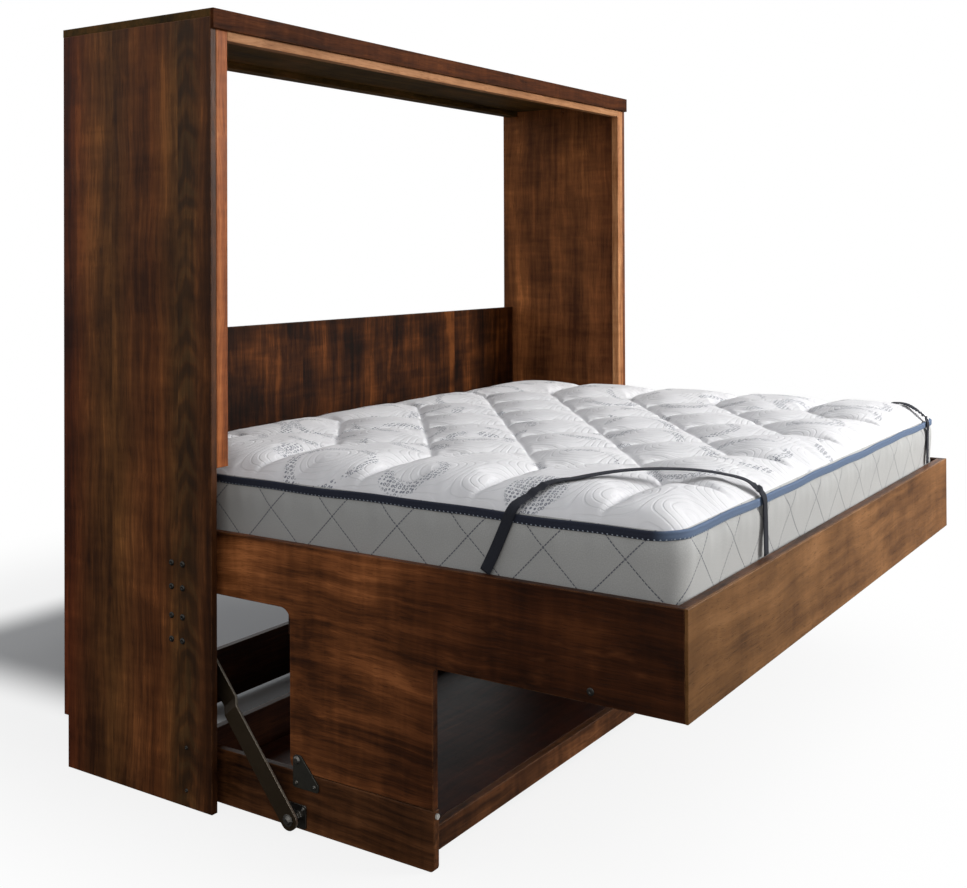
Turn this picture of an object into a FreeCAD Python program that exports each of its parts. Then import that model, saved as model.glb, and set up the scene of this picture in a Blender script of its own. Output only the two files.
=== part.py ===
import FreeCAD, Part
import math
import os

V = FreeCAD.Vector

# Sideways cabinet bed with a level desk under it, shown lowered.
# Frame: X along the cabinet, Z up, -Y towards the room. Most places are given by three
# plain distances: "a", measured inwards from the left outer face of the cabinet, "u",
# measured forwards from the cabinet's front plane, and "z", measured up from the floor.
# All sizes are in millimetres.

# ---- boards and mattress
board = 19.0
thin_panel = 6.0
mattress_length = 2032.0
mattress_width = 1524.0
mattress_edge_height = 238.0
mattress_crown = 30.0
mattress_corner = 70.0
mattress_end_play = 1.0
mattress_side_play = 3.0
mattress_foot_round = 9.0
mattress_waist = 6.0
mattress_waist_rise = 107.0
tape_width = 16.0
tape_drop = 11.0
tape_proud = 4.0
tape_round = 3.0
tape_seam = 1.0
border_step = 4.0
border_shoulder = 12.0
crown_steps = ((0.62, 52.0), (1.0, 112.0))
tuft_r = 50.0
tuft_sides = 6
tuft_depth = 9.0
tuft_pitch = 400.0
tuft_stagger = 100.0
tuft_row_pitch = 149.0
tuft_rows = 9
tufts_in_row = 4
strap_width = 25.0
strap_thickness = 3.0
strap_tuck = 1.0
near_strap_reach = 740.0
near_strap_place = 535.0
near_strap_arch = 42.0
far_strap_reach = 980.0
far_strap_place = 218.0
far_strap_arch = 20.0

# ---- cabinet
filler_width = 38.0
filler_depth = 25.0
filler_gap = 4.0
filler_foot_z = 797.0
top_filler_height = 50.0
top_gap = 6.0
wall_clearance = 17.0
fascia_height = 47.0
fascia_thickness = 10.0
skirting_depth = 15.0
skirting_height = 130.0
back_set = 20.0
headboard_top_z = 1082.0
headboard_height = 382.0
back_cleat_depth = 45.0
wall_cleat_length = 1600.0
wall_cleat_height = 70.0
wall_screw_pitch = 1219.2
wall_screw_count = 2
wall_screw_r = 3.0
front_stretcher_set = 71.5
front_stretcher_height = 140.0
front_stretcher_floor_gap = 18.0
rear_stretcher_height = 150.0
rear_stretcher_floor_gap = 15.0

# ---- pivots: the bed, the arms and the desk make a parallelogram on each side
bed_pivot_z = 537.0
bed_pivot_back = 111.0
pivot_pitch = 124.0
desk_pivot_reach = 207.0
desk_pivot_rise = 27.0
pivot_to_leg_back = 24.0
pivot_to_head = 322.0

# ---- bed frame
rail_height = 212.0
rear_rail_height = 148.0
rib_height = 89.0
leg_width = 391.0
leg_pad = 1.5
leg_front_round = 13.0
leg_rear_round = 28.0
head_end_round = 20.0
slat_count = 14
slat_width = 76.0
slat_end_play = 2.0
front_rib_sets = (716.0, 446.0, 175.0)
rear_rib_reaches = (-230.0, -40.0)
ledger_depth = 19.0
ledger_height = 25.0
edge_ease = 1.2

# ---- desk
desk_side_height = 128.0
desk_side_front = 577.0
desk_side_back = 55.0
desk_side_toe_round = 12.0
desk_side_play = 0.5
desk_rail_set = 23.0
desk_rail_floor_gap = 23.0
desk_rail_height = 54.0
desk_top_back_set = 10.0
desk_rib_height = 30.0
desk_rib_count = 3

# ---- steel parts
shank_sides = 8
head_sides = 10
bolt_r = 4.0
bolt_play = 0.2
bolt_head_r = 8.0
bolt_head_height = 3.5
bolt_overrun = 1.5
nut_height = 6.5
nut_across = 13.0
plate_thickness = 5.0
plate_pitch_u = 36.0
plate_pitch_z = 56.0
plate_margin = 14.0
plate_corner = 8.0
bed_pin_r = 8.0
bush_wall = 3.0
bush_flange_r = 15.0
bush_flange = 2.5
shoulder_r = 13.0
arm_pin_r = 7.0
running_play = 0.05
face_play = 0.3
washer_thickness = 2.0
washer_r = 14.0
arm_width = 46.0
arm_thickness = 6.0
arm_stand_in = 38.3
arm_joggle = 12.0
arm_joggle_start = 205.0
arm_joggle_run = 20.0
arm_joggle_lag = 2.0
arm_end_round = 22.0
stud_r = 6.0
stud_play = 0.3
stud_head_r = 11.0
stud_head_height = 6.0
stud_plate_half = 26.0
stud_plate_thickness = 4.0
stud_plate_corner = 5.0
stud_screw_set = 8.0
pin_nut_across = 22.0
pin_nut_height = 9.0
desk_pin_r = 6.0
desk_bolt_head_r = 10.0
desk_bolt_head_height = 4.0
bracket_thickness = 4.0
bracket_round = 11.0
bracket_top_round = 9.0
bracket_toe_round = 6.0
bracket_toe_height = 16.0
bracket_screw_drop = 50.0
bracket_screw_pitch = 51.0
head_top_share = 0.6
screw_r = 2.5
screw_head_r = 5.0
screw_head_height = 2.5
screw_length = 16.0
stretcher_screw_length = 55.0
stretcher_screw_set = 20.0
rail_bolt_r = 3.5
rail_bolt_rise = 23.0
rail_bolt_head_r = 8.5
rail_bolt_head_height = 2.0
rail_bolt_length = 55.0
pocket_r = 4.75
pocket_drop = 22.0
pocket_tilt_deg = 15.0
pocket_length = 60.0
pocket_reaches = (-448.0, -247.0, -52.0)
leg_pad_inset = 5.0
leg_pad_length = 120.0
leg_pad_set = 15.0
bumper_r = 6.0
bumper_proud = 4.0
# ---- worked-out places
bed_length = mattress_length + 2 * mattress_end_play + 2 * board
board_out = board + filler_width + filler_gap
board_in = board_out + board
cabinet_width = bed_length + 2 * board_out
half = cabinet_width / 2
head_u = -bed_pivot_back - pivot_to_head
head_in_u = head_u + board
mattress_back_u = head_in_u + mattress_side_play
mattress_front_u = mattress_back_u + mattress_width
foot_in_u = mattress_front_u + mattress_side_play
foot_rail_u = foot_in_u + board
bed_reach = foot_rail_u + thin_panel
rail_bottom_z = bed_pivot_z - bed_pivot_back
rail_top_z = rail_bottom_z + rail_height
rear_rail_z = rail_top_z - rear_rail_height
rib_foot_z = rail_bottom_z + thin_panel
slat_foot_z = rib_foot_z + rib_height
deck_z = slat_foot_z + board
mattress_edge_z = deck_z + mattress_edge_height
sweep_r = math.hypot(-bed_pivot_back - mattress_back_u, mattress_edge_z - bed_pivot_z)
depth = bed_pivot_back + sweep_r + wall_clearance
height = bed_pivot_z + bed_pivot_back + bed_reach + top_gap + top_filler_height + board
top_z = height - board
front_y = (bed_reach - depth) / 2
back_front_u = -depth + back_set + board
headboard_z = headboard_top_z - headboard_height
desk_pivot_z = desk_side_height + desk_pivot_rise
arm_pivot_z = bed_pivot_z - pivot_pitch
stud_z = desk_pivot_z - pivot_pitch
leg_back_u = desk_pivot_reach - pivot_to_leg_back
leg_front_u = leg_back_u + leg_width
leg_foot_z = desk_side_height + leg_pad
desk_out = board_out - desk_side_play
desk_in = desk_out + board
desk_front_u = desk_side_front - desk_rail_set
desk_top_z = desk_rail_floor_gap + desk_rail_height
desk_back_u = -desk_side_back + desk_top_back_set
plate_in = board + plate_thickness
arm_out_stand = arm_stand_in - arm_joggle
link_u = desk_pivot_reach + bed_pivot_back
link_z = desk_pivot_z - bed_pivot_z
link_length = math.hypot(link_u, link_z)
bush_r = bed_pin_r + bush_wall
rib_places = [foot_in_u - back for back in front_rib_sets]
arm_nut_start = arm_stand_in + arm_thickness + face_play
arm_nut_end = arm_nut_start + washer_thickness + nut_height


# ---- helpers
def at(a, u, z):
    return V(a - half, front_y - u, z)


def block(a0, a1, u0, u1, z0, z1):
    return Part.makeBox(a1 - a0, u1 - u0, z1 - z0, at(a0, u1, z0))


def across(inset, u0, u1, z0, z1):
    """A board that runs along the cabinet, the same distance short of both outer faces."""
    return block(inset, cabinet_width - inset, u0, u1, z0, z1)


def rod(a0, a1, u, z, r):
    return Part.makeCylinder(r, a1 - a0, at(a0, u, z), V(1, 0, 0))


def mirrored(shape):
    return shape.mirror(V(0, 0, 0), V(1, 0, 0))


def rounded_edges(corners):
    """Edges of a closed outline; each corner is a point and its rounding radius."""
    legs = []
    edges = []
    for index, (point, radius) in enumerate(corners):
        before = (corners[index - 1][0] - point).normalize()
        after = (corners[(index + 1) % len(corners)][0] - point).normalize()
        if radius == 0:
            legs.append((point, point))
            continue
        half_angle = before.getAngle(after) / 2
        run = radius / math.tan(half_angle)
        bisector = (before + after).normalize()
        middle = point + bisector * (radius / math.sin(half_angle) - radius)
        start = point + before * run
        end = point + after * run
        edges.append(Part.Arc(start, middle, end).toShape())
        legs.append((start, end))
    for index, (start, end) in enumerate(legs):
        next_start = legs[(index + 1) % len(legs)][0]
        if end.distanceToPoint(next_start) > 0.001:
            edges.append(Part.LineSegment(end, next_start).toShape())
    return edges


def slab(corners, a0, thickness):
    """A board cut to an outline in the u-z plane, its outer face at a0."""
    points = [(at(a0, u, z), radius) for u, z, radius in corners]
    wire = Part.Wire(Part.sortEdges(rounded_edges(points))[0])
    return Part.Face(wire).extrude(V(thickness, 0, 0))


def eased(shape, *directions):
    """Breaks the long sharp edges of a board that run along the given directions."""
    long_edges = []
    for edge in shape.Edges:
        if len(edge.Vertexes) < 2 or edge.Curve.TypeId != "Part::GeomLine":
            continue
        along = (edge.Vertexes[1].Point - edge.Vertexes[0].Point).normalize()
        if any(abs(along.dot(way)) > 0.999 for way in directions):
            long_edges.append(edge)
    return shape.makeChamfer(edge_ease, long_edges)


def softened(shape):
    """Breaks every edge around the two faces of a board cut by slab."""
    rims = [edge for edge in shape.Edges if abs(edge.Vertexes[0].X - edge.Vertexes[-1].X) < 0.001]
    return shape.makeChamfer(edge_ease, rims)


def turned(profile, u, z):
    """A solid of revolution about a cross-wise axis; profile holds (a, radius) pairs."""
    points = [at(a, u, z + r) for a, r in profile]
    face = Part.Face(Part.makePolygon(points + points[:1]))
    return face.revolve(at(0, u, z), V(1, 0, 0), 360)


def polygon(a, u, z, corner_r, sides):
    """A closed regular outline square to the cabinet's length."""
    points = []
    for index in range(sides + 1):
        turn = 2 * math.pi * index / sides
        points.append(at(a, u + corner_r * math.cos(turn), z + corner_r * math.sin(turn)))
    return Part.makePolygon(points)


def prism(a0, a1, u, z, corner_r, sides):
    return Part.Face(polygon(a0, u, z, corner_r, sides)).extrude(V(a1 - a0, 0, 0))


def shank(a0, a1, u, z, r):
    """The straight part of a small bolt or screw, or the hole for it."""
    return prism(min(a0, a1), max(a0, a1), u, z, r, shank_sides)


def round_head(seat, top, u, z, head_r):
    """A low head that narrows from its seat to its top."""
    rims = [polygon(seat, u, z, head_r, head_sides)]
    rims.append(polygon(top, u, z, head_r * head_top_share, head_sides))
    return Part.makeLoft(rims, True, True)


def headed(seat, top, tip, u, z, r, head_r):
    """A small bolt or screw: head between seat and top, shank from the seat to the tip."""
    return round_head(seat, top, u, z, head_r).fuse(shank(seat, tip, u, z, r))


def hex_nut(a0, a1, u, z, across_flats, shaft):
    corner_r = across_flats / 2 / math.cos(math.radians(30))
    return prism(a0, a1, u, z, corner_r, 6).cut(shaft)


def plate_bolt_places():
    """The (u, z) of the eight bolts that hold the two pivot plates of one side."""
    return [
        (-bed_pivot_back + side * plate_pitch_u / 2, pivot_z + level * plate_pitch_z / 2)
        for pivot_z in (bed_pivot_z, arm_pivot_z)
        for side in (-1, 1)
        for level in (-1, 1)
    ]


def stretcher_screw_places():
    """The (u, z) of the screws through a side panel into the front stretcher."""
    u = -front_stretcher_set - board / 2
    foot = front_stretcher_floor_gap + stretcher_screw_set
    return [(u, foot), (u, foot + front_stretcher_height - 2 * stretcher_screw_set)]


# ---- cabinet
def stretcher_screws_left():
    return [
        headed(0, -screw_head_height, stretcher_screw_length, u, z, screw_r, screw_head_r)
        for u, z in stretcher_screw_places()
    ]


def pocket_bores():
    """Slanted screw pockets that rise through the inner face towards the top panel."""
    tilt = math.radians(pocket_tilt_deg)
    way = V(-math.sin(tilt), 0, math.cos(tilt))
    bores = []
    for u in pocket_reaches:
        start = at(board, u, top_z - pocket_drop) - way * pocket_length
        bores.append(Part.makeCylinder(pocket_r, pocket_length + pocket_drop / 2, start, way))
    return bores


def side_panel_left():
    notch_u = -depth + skirting_depth
    corners = [
        (0, 0, 0),
        (0, top_z, 0),
        (-depth, top_z, 0),
        (-depth, skirting_height, 0),
        (notch_u, skirting_height, 0),
        (notch_u, 0, 0),
    ]
    panel = eased(slab(corners, 0, board), V(0, 0, 1))
    bolt_holes = [shank(0, board, u, z, bolt_r + bolt_play) for u, z in plate_bolt_places()]
    return panel.cut(bolt_holes + stretcher_screws_left() + pocket_bores())


def top_panel():
    return across(0, -depth, 0, top_z, height)


def top_fascia():
    fascia = across(0, 0, fascia_thickness, height - fascia_height, height)
    return eased(fascia, V(1, 0, 0))


def top_filler():
    return across(board + filler_width, -filler_depth, 0, top_z - top_filler_height, top_z)


def filler_stile_left():
    stile = block(board, board + filler_width, -filler_depth, 0, filler_foot_z, top_z)
    return eased(stile, V(0, 0, 1))


def back_cleat():
    back_u = -depth + back_set
    return across(board, back_u, back_u + back_cleat_depth, top_z - board, top_z)


def wall_screw_holes():
    """Bores along Y for the screws that tie the cabinet to the wall."""
    first = -wall_screw_pitch * (wall_screw_count - 1) / 2
    z = headboard_z + wall_cleat_height / 2
    holes = []
    for index in range(wall_screw_count):
        start = V(first + index * wall_screw_pitch, front_y - back_front_u, z)
        holes.append(Part.makeCylinder(wall_screw_r, back_set + board, start, V(0, 1, 0)))
    return holes


def headboard():
    panel = across(board, back_front_u - board, back_front_u, headboard_z, headboard_top_z)
    return eased(panel, V(1, 0, 0)).cut(wall_screw_holes())


def wall_cleat():
    inset = half - wall_cleat_length / 2
    cleat = across(inset, -depth, -depth + back_set, headboard_z, headboard_z + wall_cleat_height)
    return cleat.cut(wall_screw_holes())


def front_stretcher():
    foot = front_stretcher_floor_gap
    front_u = -front_stretcher_set
    rail = across(board, front_u - board, front_u, foot, foot + front_stretcher_height)
    screws = stretcher_screws_left()
    return rail.cut(screws + [mirrored(screw) for screw in screws])


def rear_stretcher():
    foot = rear_stretcher_floor_gap
    back_u = back_front_u - board
    return across(board, back_u, back_front_u, foot, foot + rear_stretcher_height)


def pivot_plate(pivot_z):
    """A steel plate bolted to the inside of the side panel."""
    half_u = plate_pitch_u / 2 + plate_margin
    half_z = plate_pitch_z / 2 + plate_margin
    corners = []
    for side_u, side_z in ((-1, -1), (1, -1), (1, 1), (-1, 1)):
        u = -bed_pivot_back + side_u * half_u
        z = pivot_z + side_z * half_z
        clipped = [(u - side_u * plate_corner, z, 0), (u, z - side_z * plate_corner, 0)]
        corners += clipped[::-1] if side_u == side_z else clipped
    plate = slab(corners, board, plate_thickness)
    holes = [
        shank(board, plate_in, u, z, bolt_r + bolt_play)
        for u, z in plate_bolt_places()
        if abs(z - pivot_z) < pivot_pitch / 2
    ]
    return plate.cut(holes)


def bed_pivot_plate_left():
    """Plate with the shouldered pin that carries the bed."""
    place = (-bed_pivot_back, bed_pivot_z)
    shoulder = rod(plate_in, board_out - bush_flange - face_play, *place, shoulder_r)
    return pivot_plate(bed_pivot_z).fuse(
        [shoulder, rod(plate_in, board_in - face_play, *place, bed_pin_r)]
    )


def arm_pivot_plate_left():
    """Plate with the shouldered pin that carries the arm."""
    place = (-bed_pivot_back, arm_pivot_z)
    shoulder = rod(plate_in, arm_stand_in - face_play, *place, shoulder_r)
    pin = rod(plate_in, arm_nut_end + face_play, *place, arm_pin_r)
    return pivot_plate(arm_pivot_z).fuse([shoulder, pin])


def arm_pivot_nut_left():
    place = (-bed_pivot_back, arm_pivot_z)
    washer_end = arm_nut_start + washer_thickness
    washer = prism(arm_nut_start, washer_end, *place, washer_r, head_sides)
    pin = rod(arm_nut_start, arm_nut_end, *place, arm_pin_r)
    return hex_nut(washer_end, arm_nut_end, *place, pin_nut_across, pin).fuse(washer.cut(pin))


def plate_bolts_left():
    tip = plate_in + nut_height + bolt_overrun
    return [
        headed(0, -bolt_head_height, tip, u, z, bolt_r, bolt_head_r)
        for u, z in plate_bolt_places()
    ]


def plate_nuts_left():
    end = plate_in + nut_height
    return [
        hex_nut(plate_in, end, u, z, nut_across, shank(plate_in, end, u, z, bolt_r))
        for u, z in plate_bolt_places()
    ]


# ---- bed
def rail_bolt_left():
    """The bolt through the side board into the foremost rib."""
    top = board_out - rail_bolt_head_height
    tip = board_out + rail_bolt_length
    z = rail_bottom_z + rail_bolt_rise
    return headed(board_out, top, tip, rib_places[-1], z, rail_bolt_r, rail_bolt_head_r)


def side_board_left():
    """Rail and leg cut from one board."""
    corners = [
        (head_u, rail_top_z, head_end_round),
        (foot_rail_u, rail_top_z, 0),
        (foot_rail_u, rail_bottom_z, 0),
        (leg_front_u, rail_bottom_z, leg_front_round),
        (leg_front_u, leg_foot_z, 0),
        (leg_back_u, leg_foot_z, pivot_to_leg_back),
        (leg_back_u, rear_rail_z, leg_rear_round),
        (head_u, rear_rail_z, head_end_round),
    ]
    side = softened(slab(corners, board_out, board))
    side = side.cut(rod(board_out, board_in, -bed_pivot_back, bed_pivot_z, bush_r))
    desk_pin_hole = desk_pin_r + running_play
    side = side.cut(rod(board_out, board_in, desk_pivot_reach, desk_pivot_z, desk_pin_hole))
    return side.cut(rail_bolt_left())


def bed_pivot_bush_left():
    bore = bed_pin_r + running_play
    flange = board_out - bush_flange
    profile = [
        (flange, bore),
        (flange, bush_flange_r),
        (board_out, bush_flange_r),
        (board_out, bush_r),
        (board_in, bush_r),
        (board_in, bore),
    ]
    return turned(profile, -bed_pivot_back, bed_pivot_z)


def foot_rail():
    return across(board_in, foot_in_u, foot_rail_u, rail_bottom_z, rail_top_z)


def foot_face():
    face = across(board_out, foot_rail_u, bed_reach, rail_bottom_z, rail_top_z)
    front_edges = [
        edge
        for edge in face.Edges
        if all(abs(vertex.Point.y - (front_y - bed_reach)) < 0.01 for vertex in edge.Vertexes)
    ]
    return face.makeFillet(edge_ease, front_edges)


def head_rail():
    return across(board_in, head_u, head_in_u, rear_rail_z, rail_top_z)


def cross_rail():
    return across(board_in, leg_back_u - board, leg_back_u, rail_bottom_z, slat_foot_z)


def face_panel_front():
    return across(board_in, leg_back_u, foot_in_u, rail_bottom_z, rib_foot_z)


def face_panel_rear():
    foot = rear_rail_z
    return across(board_in, head_in_u, leg_back_u - board, foot, foot + thin_panel)


def ribs():
    front = [
        across(board_in, u - board / 2, u + board / 2, rib_foot_z, slat_foot_z)
        for u in rib_places
    ]
    rear = [
        across(board_in, u - board / 2, u + board / 2, rear_rail_z + thin_panel, slat_foot_z)
        for u in rear_rib_reaches
    ]
    bolt = rail_bolt_left()
    front[-1] = front[-1].cut([bolt, mirrored(bolt)])
    return front + rear


def slat_ledgers():
    foot = slat_foot_z - ledger_height
    return [
        across(board_in, head_in_u, head_in_u + ledger_depth, foot, slat_foot_z),
        across(board_in, foot_in_u - ledger_depth, foot_in_u, foot, slat_foot_z),
    ]


def slats():
    clear = cabinet_width - 2 * board_in
    pitch = (clear - slat_width) / (slat_count - 1)
    back_u = head_in_u + slat_end_play
    front_u = foot_in_u - slat_end_play
    boards = []
    for index in range(slat_count):
        start = board_in + index * pitch
        boards.append(block(start, start + slat_width, back_u, front_u, slat_foot_z, deck_z))
    return boards


def mattress_section(rise, inset):
    """A rounded rectangle at a height above the deck, drawn in from the nominal plan."""
    start = half - mattress_length / 2 + inset
    end = half + mattress_length / 2 - inset
    back = mattress_back_u + inset
    front = mattress_front_u - inset
    radius = mattress_corner
    plan = [(start, back), (end, back), (end, front), (start, front)]
    corners = [(at(a, u, deck_z + rise), radius) for a, u in plan]
    return Part.Wire(Part.sortEdges(rounded_edges(corners))[0])


def mattress():
    """Drawn-in border, a taped edge that stands proud, a crowned top and sewn tufts."""
    edge = mattress_edge_height
    tape_top = edge - tape_drop
    tape_foot = tape_top - tape_width
    sections = [
        (0, mattress_foot_round),
        (mattress_foot_round, 0),
        (mattress_waist_rise, mattress_waist),
        (tape_foot, tape_seam),
        (tape_foot + tape_round, -tape_proud),
        (tape_top - tape_round, -tape_proud),
        (tape_top, border_step),
        (edge, border_shoulder),
    ]
    sections += [(edge + mattress_crown * share, inset) for share, inset in crown_steps]
    body = Part.makeLoft([mattress_section(rise, inset) for rise, inset in sections], True, True)
    return body.cut(mattress_tufts())


def mattress_tufts():
    """Shallow six-sided hollows sunk into the crown in staggered rows."""
    middle_u = (mattress_back_u + mattress_front_u) / 2
    top_z = mattress_edge_z + mattress_crown
    tufts = []
    for row in range(tuft_rows):
        u = middle_u + (row - (tuft_rows - 1) / 2) * tuft_row_pitch
        shift = tuft_stagger if row % 2 else -tuft_stagger
        for index in range(tufts_in_row):
            a = half + shift + (index - (tufts_in_row - 1) / 2) * tuft_pitch
            rim = []
            for side in range(tuft_sides + 1):
                turn = 2 * math.pi * side / tuft_sides
                rim.append(at(a + tuft_r * math.cos(turn), u + tuft_r * math.sin(turn), top_z))
            eye = Part.Vertex(at(a, u, top_z - tuft_depth))
            tufts.append(Part.makeLoft([eye, Part.makePolygon(rim)], True, True))
    return tufts


def corner_strap(reach, place, arch):
    """A flat elastic band over a front corner of the mattress, drawn at the left end."""
    half_width = strap_width / 2
    side_face = half - mattress_length / 2
    start = at(side_face, reach, mattress_edge_z)
    end = at(place, mattress_front_u, mattress_edge_z)
    along = (end - start).normalize()
    aside = V(-along.y, along.x, 0)
    middle = (start + end) * 0.5 + V(0, 0, arch)
    lift = V(0, 0, strap_thickness)
    outline = [
        Part.Arc(start, middle, end).toShape(),
        Part.Arc(start + lift, middle + lift, end + lift).toShape(),
        Part.LineSegment(start, start + lift).toShape(),
        Part.LineSegment(end, end + lift).toShape(),
    ]
    profile = Part.Face(Part.Wire(Part.sortEdges(outline)[0]))
    profile.translate(aside * -half_width)
    foot_z = rail_top_z + face_play
    side_band = block(
        side_face - strap_thickness,
        side_face + strap_tuck,
        reach - half_width,
        reach + half_width,
        foot_z,
        mattress_edge_z + strap_thickness,
    )
    front_band = block(
        place - half_width,
        place + half_width,
        mattress_front_u - strap_tuck,
        mattress_front_u + strap_thickness,
        foot_z,
        mattress_edge_z + strap_thickness,
    )
    return profile.extrude(aside * strap_width).fuse([side_band, front_band])


def corner_strap_left():
    return corner_strap(near_strap_reach, near_strap_place, near_strap_arch)


def corner_strap_right():
    return mirrored(corner_strap(far_strap_reach, far_strap_place, far_strap_arch))


# ---- desk
def bracket_screws_left():
    seat = desk_out - bracket_thickness
    place_z = desk_pivot_z - bracket_screw_drop
    top = seat - screw_head_height
    return [
        headed(seat, top, seat + screw_length, u, place_z, screw_r, screw_head_r)
        for u in (desk_pivot_reach, desk_pivot_reach + bracket_screw_pitch)
    ]


def stud_screws_left():
    """Two screws at opposite corners of the stud's plate."""
    seat = desk_out - stud_plate_thickness
    top = seat - screw_head_height
    inset = stud_plate_half - stud_screw_set
    return [
        headed(
            seat,
            top,
            seat + screw_length,
            desk_pivot_reach + way * inset,
            stud_z + way * inset,
            screw_r,
            screw_head_r,
        )
        for way in (-1, 1)
    ]


def desk_side_left():
    corners = [
        (-desk_side_back, 0, 0),
        (desk_side_front, 0, desk_side_toe_round),
        (desk_side_front, desk_side_height, 0),
        (-desk_side_back, desk_side_height, 0),
    ]
    side = softened(slab(corners, desk_out, board))
    return side.cut(bracket_screws_left() + stud_screws_left())


def desk_top():
    return across(desk_in, desk_back_u, desk_front_u - board, desk_top_z - board, desk_top_z)


def desk_front_rail():
    rail = across(
        desk_in, desk_front_u - board, desk_front_u, desk_rail_floor_gap, desk_top_z
    )
    return eased(rail, V(1, 0, 0))


def desk_back_rail():
    foot = desk_top_z - board - desk_rib_height
    return across(desk_in, desk_back_u, desk_back_u + board, foot, desk_top_z - board)


def desk_ribs():
    foot = desk_top_z - board - desk_rib_height
    back_u = desk_back_u + board
    front_u = desk_front_u - board
    pitch = (cabinet_width - 2 * desk_in) / (desk_rib_count + 1)
    parts = []
    for index in range(desk_rib_count):
        middle = desk_in + (index + 1) * pitch
        start = middle - board / 2
        parts.append(block(start, start + board, back_u, front_u, foot, desk_top_z - board))
    return parts


def pivot_bracket_left():
    """Three-cornered plate on the desk side that reaches up to the leg's pivot."""
    drop_z = desk_pivot_z - bracket_screw_drop - bracket_round
    far_u = desk_pivot_reach + bracket_screw_pitch + bracket_round
    near_u = desk_pivot_reach - bracket_round
    corners = [
        (near_u, drop_z, bracket_toe_round),
        (far_u, drop_z, bracket_toe_round),
        (far_u, drop_z + bracket_toe_height, bracket_toe_round),
        (desk_pivot_reach + bracket_round, desk_pivot_z + bracket_round, bracket_top_round),
        (near_u, desk_pivot_z + bracket_round, bracket_top_round),
    ]
    plate = slab(corners, desk_out - bracket_thickness, bracket_thickness)
    pin_hole = rod(
        desk_out - bracket_thickness, desk_out, desk_pivot_reach, desk_pivot_z, desk_pin_r
    )
    return plate.cut([pin_hole] + bracket_screws_left())


def desk_pivot_bolt_left():
    seat = desk_out - bracket_thickness
    place = (desk_pivot_reach, desk_pivot_z)
    washer_start = board_in + face_play
    nut_start = washer_start + washer_thickness
    tip = nut_start + nut_height
    pin = rod(seat, tip, *place, desk_pin_r)
    head = round_head(seat, seat - desk_bolt_head_height, *place, desk_bolt_head_r)
    washer = prism(washer_start, nut_start, *place, washer_r, head_sides)
    nut = hex_nut(nut_start, tip, *place, pin_nut_across, pin)
    return pin.fuse([head, washer, nut])


def arm_stud_left():
    """Square plate and the stud that the arm's lower eye turns on, with its washers and nuts."""
    low_u = desk_pivot_reach - stud_plate_half
    high_u = desk_pivot_reach + stud_plate_half
    low_z = stud_z - stud_plate_half
    high_z = stud_z + stud_plate_half
    outline = [(low_u, low_z), (high_u, low_z), (high_u, high_z), (low_u, high_z)]
    corners = [(u, z, stud_plate_corner) for u, z in outline]
    seat = desk_out - stud_plate_thickness
    plate = slab(corners, seat, stud_plate_thickness).cut(stud_screws_left())
    place = (desk_pivot_reach, stud_z)
    outer = arm_out_stand - face_play
    inner = arm_out_stand + arm_thickness + face_play
    washer_end = inner + washer_thickness
    nut_end = washer_end + pin_nut_height
    nut_r = pin_nut_across / 2 / math.cos(math.radians(30))
    head_seat = outer - washer_thickness
    fittings = [
        rod(outer, inner, *place, stud_r),
        shank(nut_end, seat - pin_nut_height, *place, stud_r),
        round_head(head_seat, head_seat - stud_head_height, *place, stud_head_r),
        prism(head_seat, outer, *place, washer_r, head_sides),
        prism(inner, washer_end, *place, washer_r, head_sides),
        prism(washer_end, nut_end, *place, nut_r, 6),
        prism(seat - pin_nut_height, seat, *place, nut_r, 6),
    ]
    return plate.fuse(fittings)


def desk_screws_left():
    return bracket_screws_left() + stud_screws_left()


def leg_pad_left():
    """Rubber strip on the desk side's top edge that the leg lands on."""
    outer = desk_out + leg_pad_inset
    inner = desk_in - leg_pad_inset
    front_u = leg_front_u - leg_pad_set
    return block(outer, inner, front_u - leg_pad_length, front_u, desk_side_height, leg_foot_z)


def desk_bumper_left():
    """Round stop at the desk side's front end."""
    middle = desk_out + board / 2
    start = at(middle, desk_side_front, desk_side_height - 2 * bumper_r)
    return Part.makeCylinder(bumper_r, bumper_proud, start, V(0, -1, 0))


# ---- arms
def control_arm_left():
    """Flat bar with a sideways joggle and an eye at each end, drawn along Y and then turned."""
    reach = arm_width / 2
    far = link_length + reach
    joggle_end = arm_joggle_start + arm_joggle_run
    upper_in = arm_stand_in + arm_thickness
    lower_in = arm_out_stand + arm_thickness
    side = [
        (arm_stand_in, -reach),
        (arm_stand_in, arm_joggle_start),
        (arm_out_stand, joggle_end),
        (arm_out_stand, far),
        (lower_in, far),
        (lower_in, joggle_end + arm_joggle_lag),
        (upper_in, arm_joggle_start + arm_joggle_lag),
        (upper_in, -reach),
    ]
    points = [V(a, along, -reach) for a, along in side]
    bar = Part.Face(Part.makePolygon(points + points[:1])).extrude(V(0, 0, arm_width))
    plan = [
        (V(0, -reach, -reach), arm_end_round),
        (V(0, far, -reach), arm_end_round),
        (V(0, far, reach), arm_end_round),
        (V(0, -reach, reach), arm_end_round),
    ]
    outline = Part.Face(Part.Wire(Part.sortEdges(rounded_edges(plan))[0]))
    bar = bar.common(outline.extrude(V(2 * upper_in, 0, 0)))
    upper_eye = Part.makeCylinder(arm_pin_r + running_play, 2 * upper_in, V(), V(1, 0, 0))
    stud_place = V(0, link_length, 0)
    lower_eye = Part.makeCylinder(stud_r + stud_play, 2 * upper_in, stud_place, V(1, 0, 0))
    bar = bar.cut([upper_eye, lower_eye])
    bar.rotate(V(), V(1, 0, 0), math.degrees(math.atan2(link_z, -link_u)))
    bar.translate(at(0, -bed_pivot_back, arm_pivot_z))
    return bar


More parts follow.
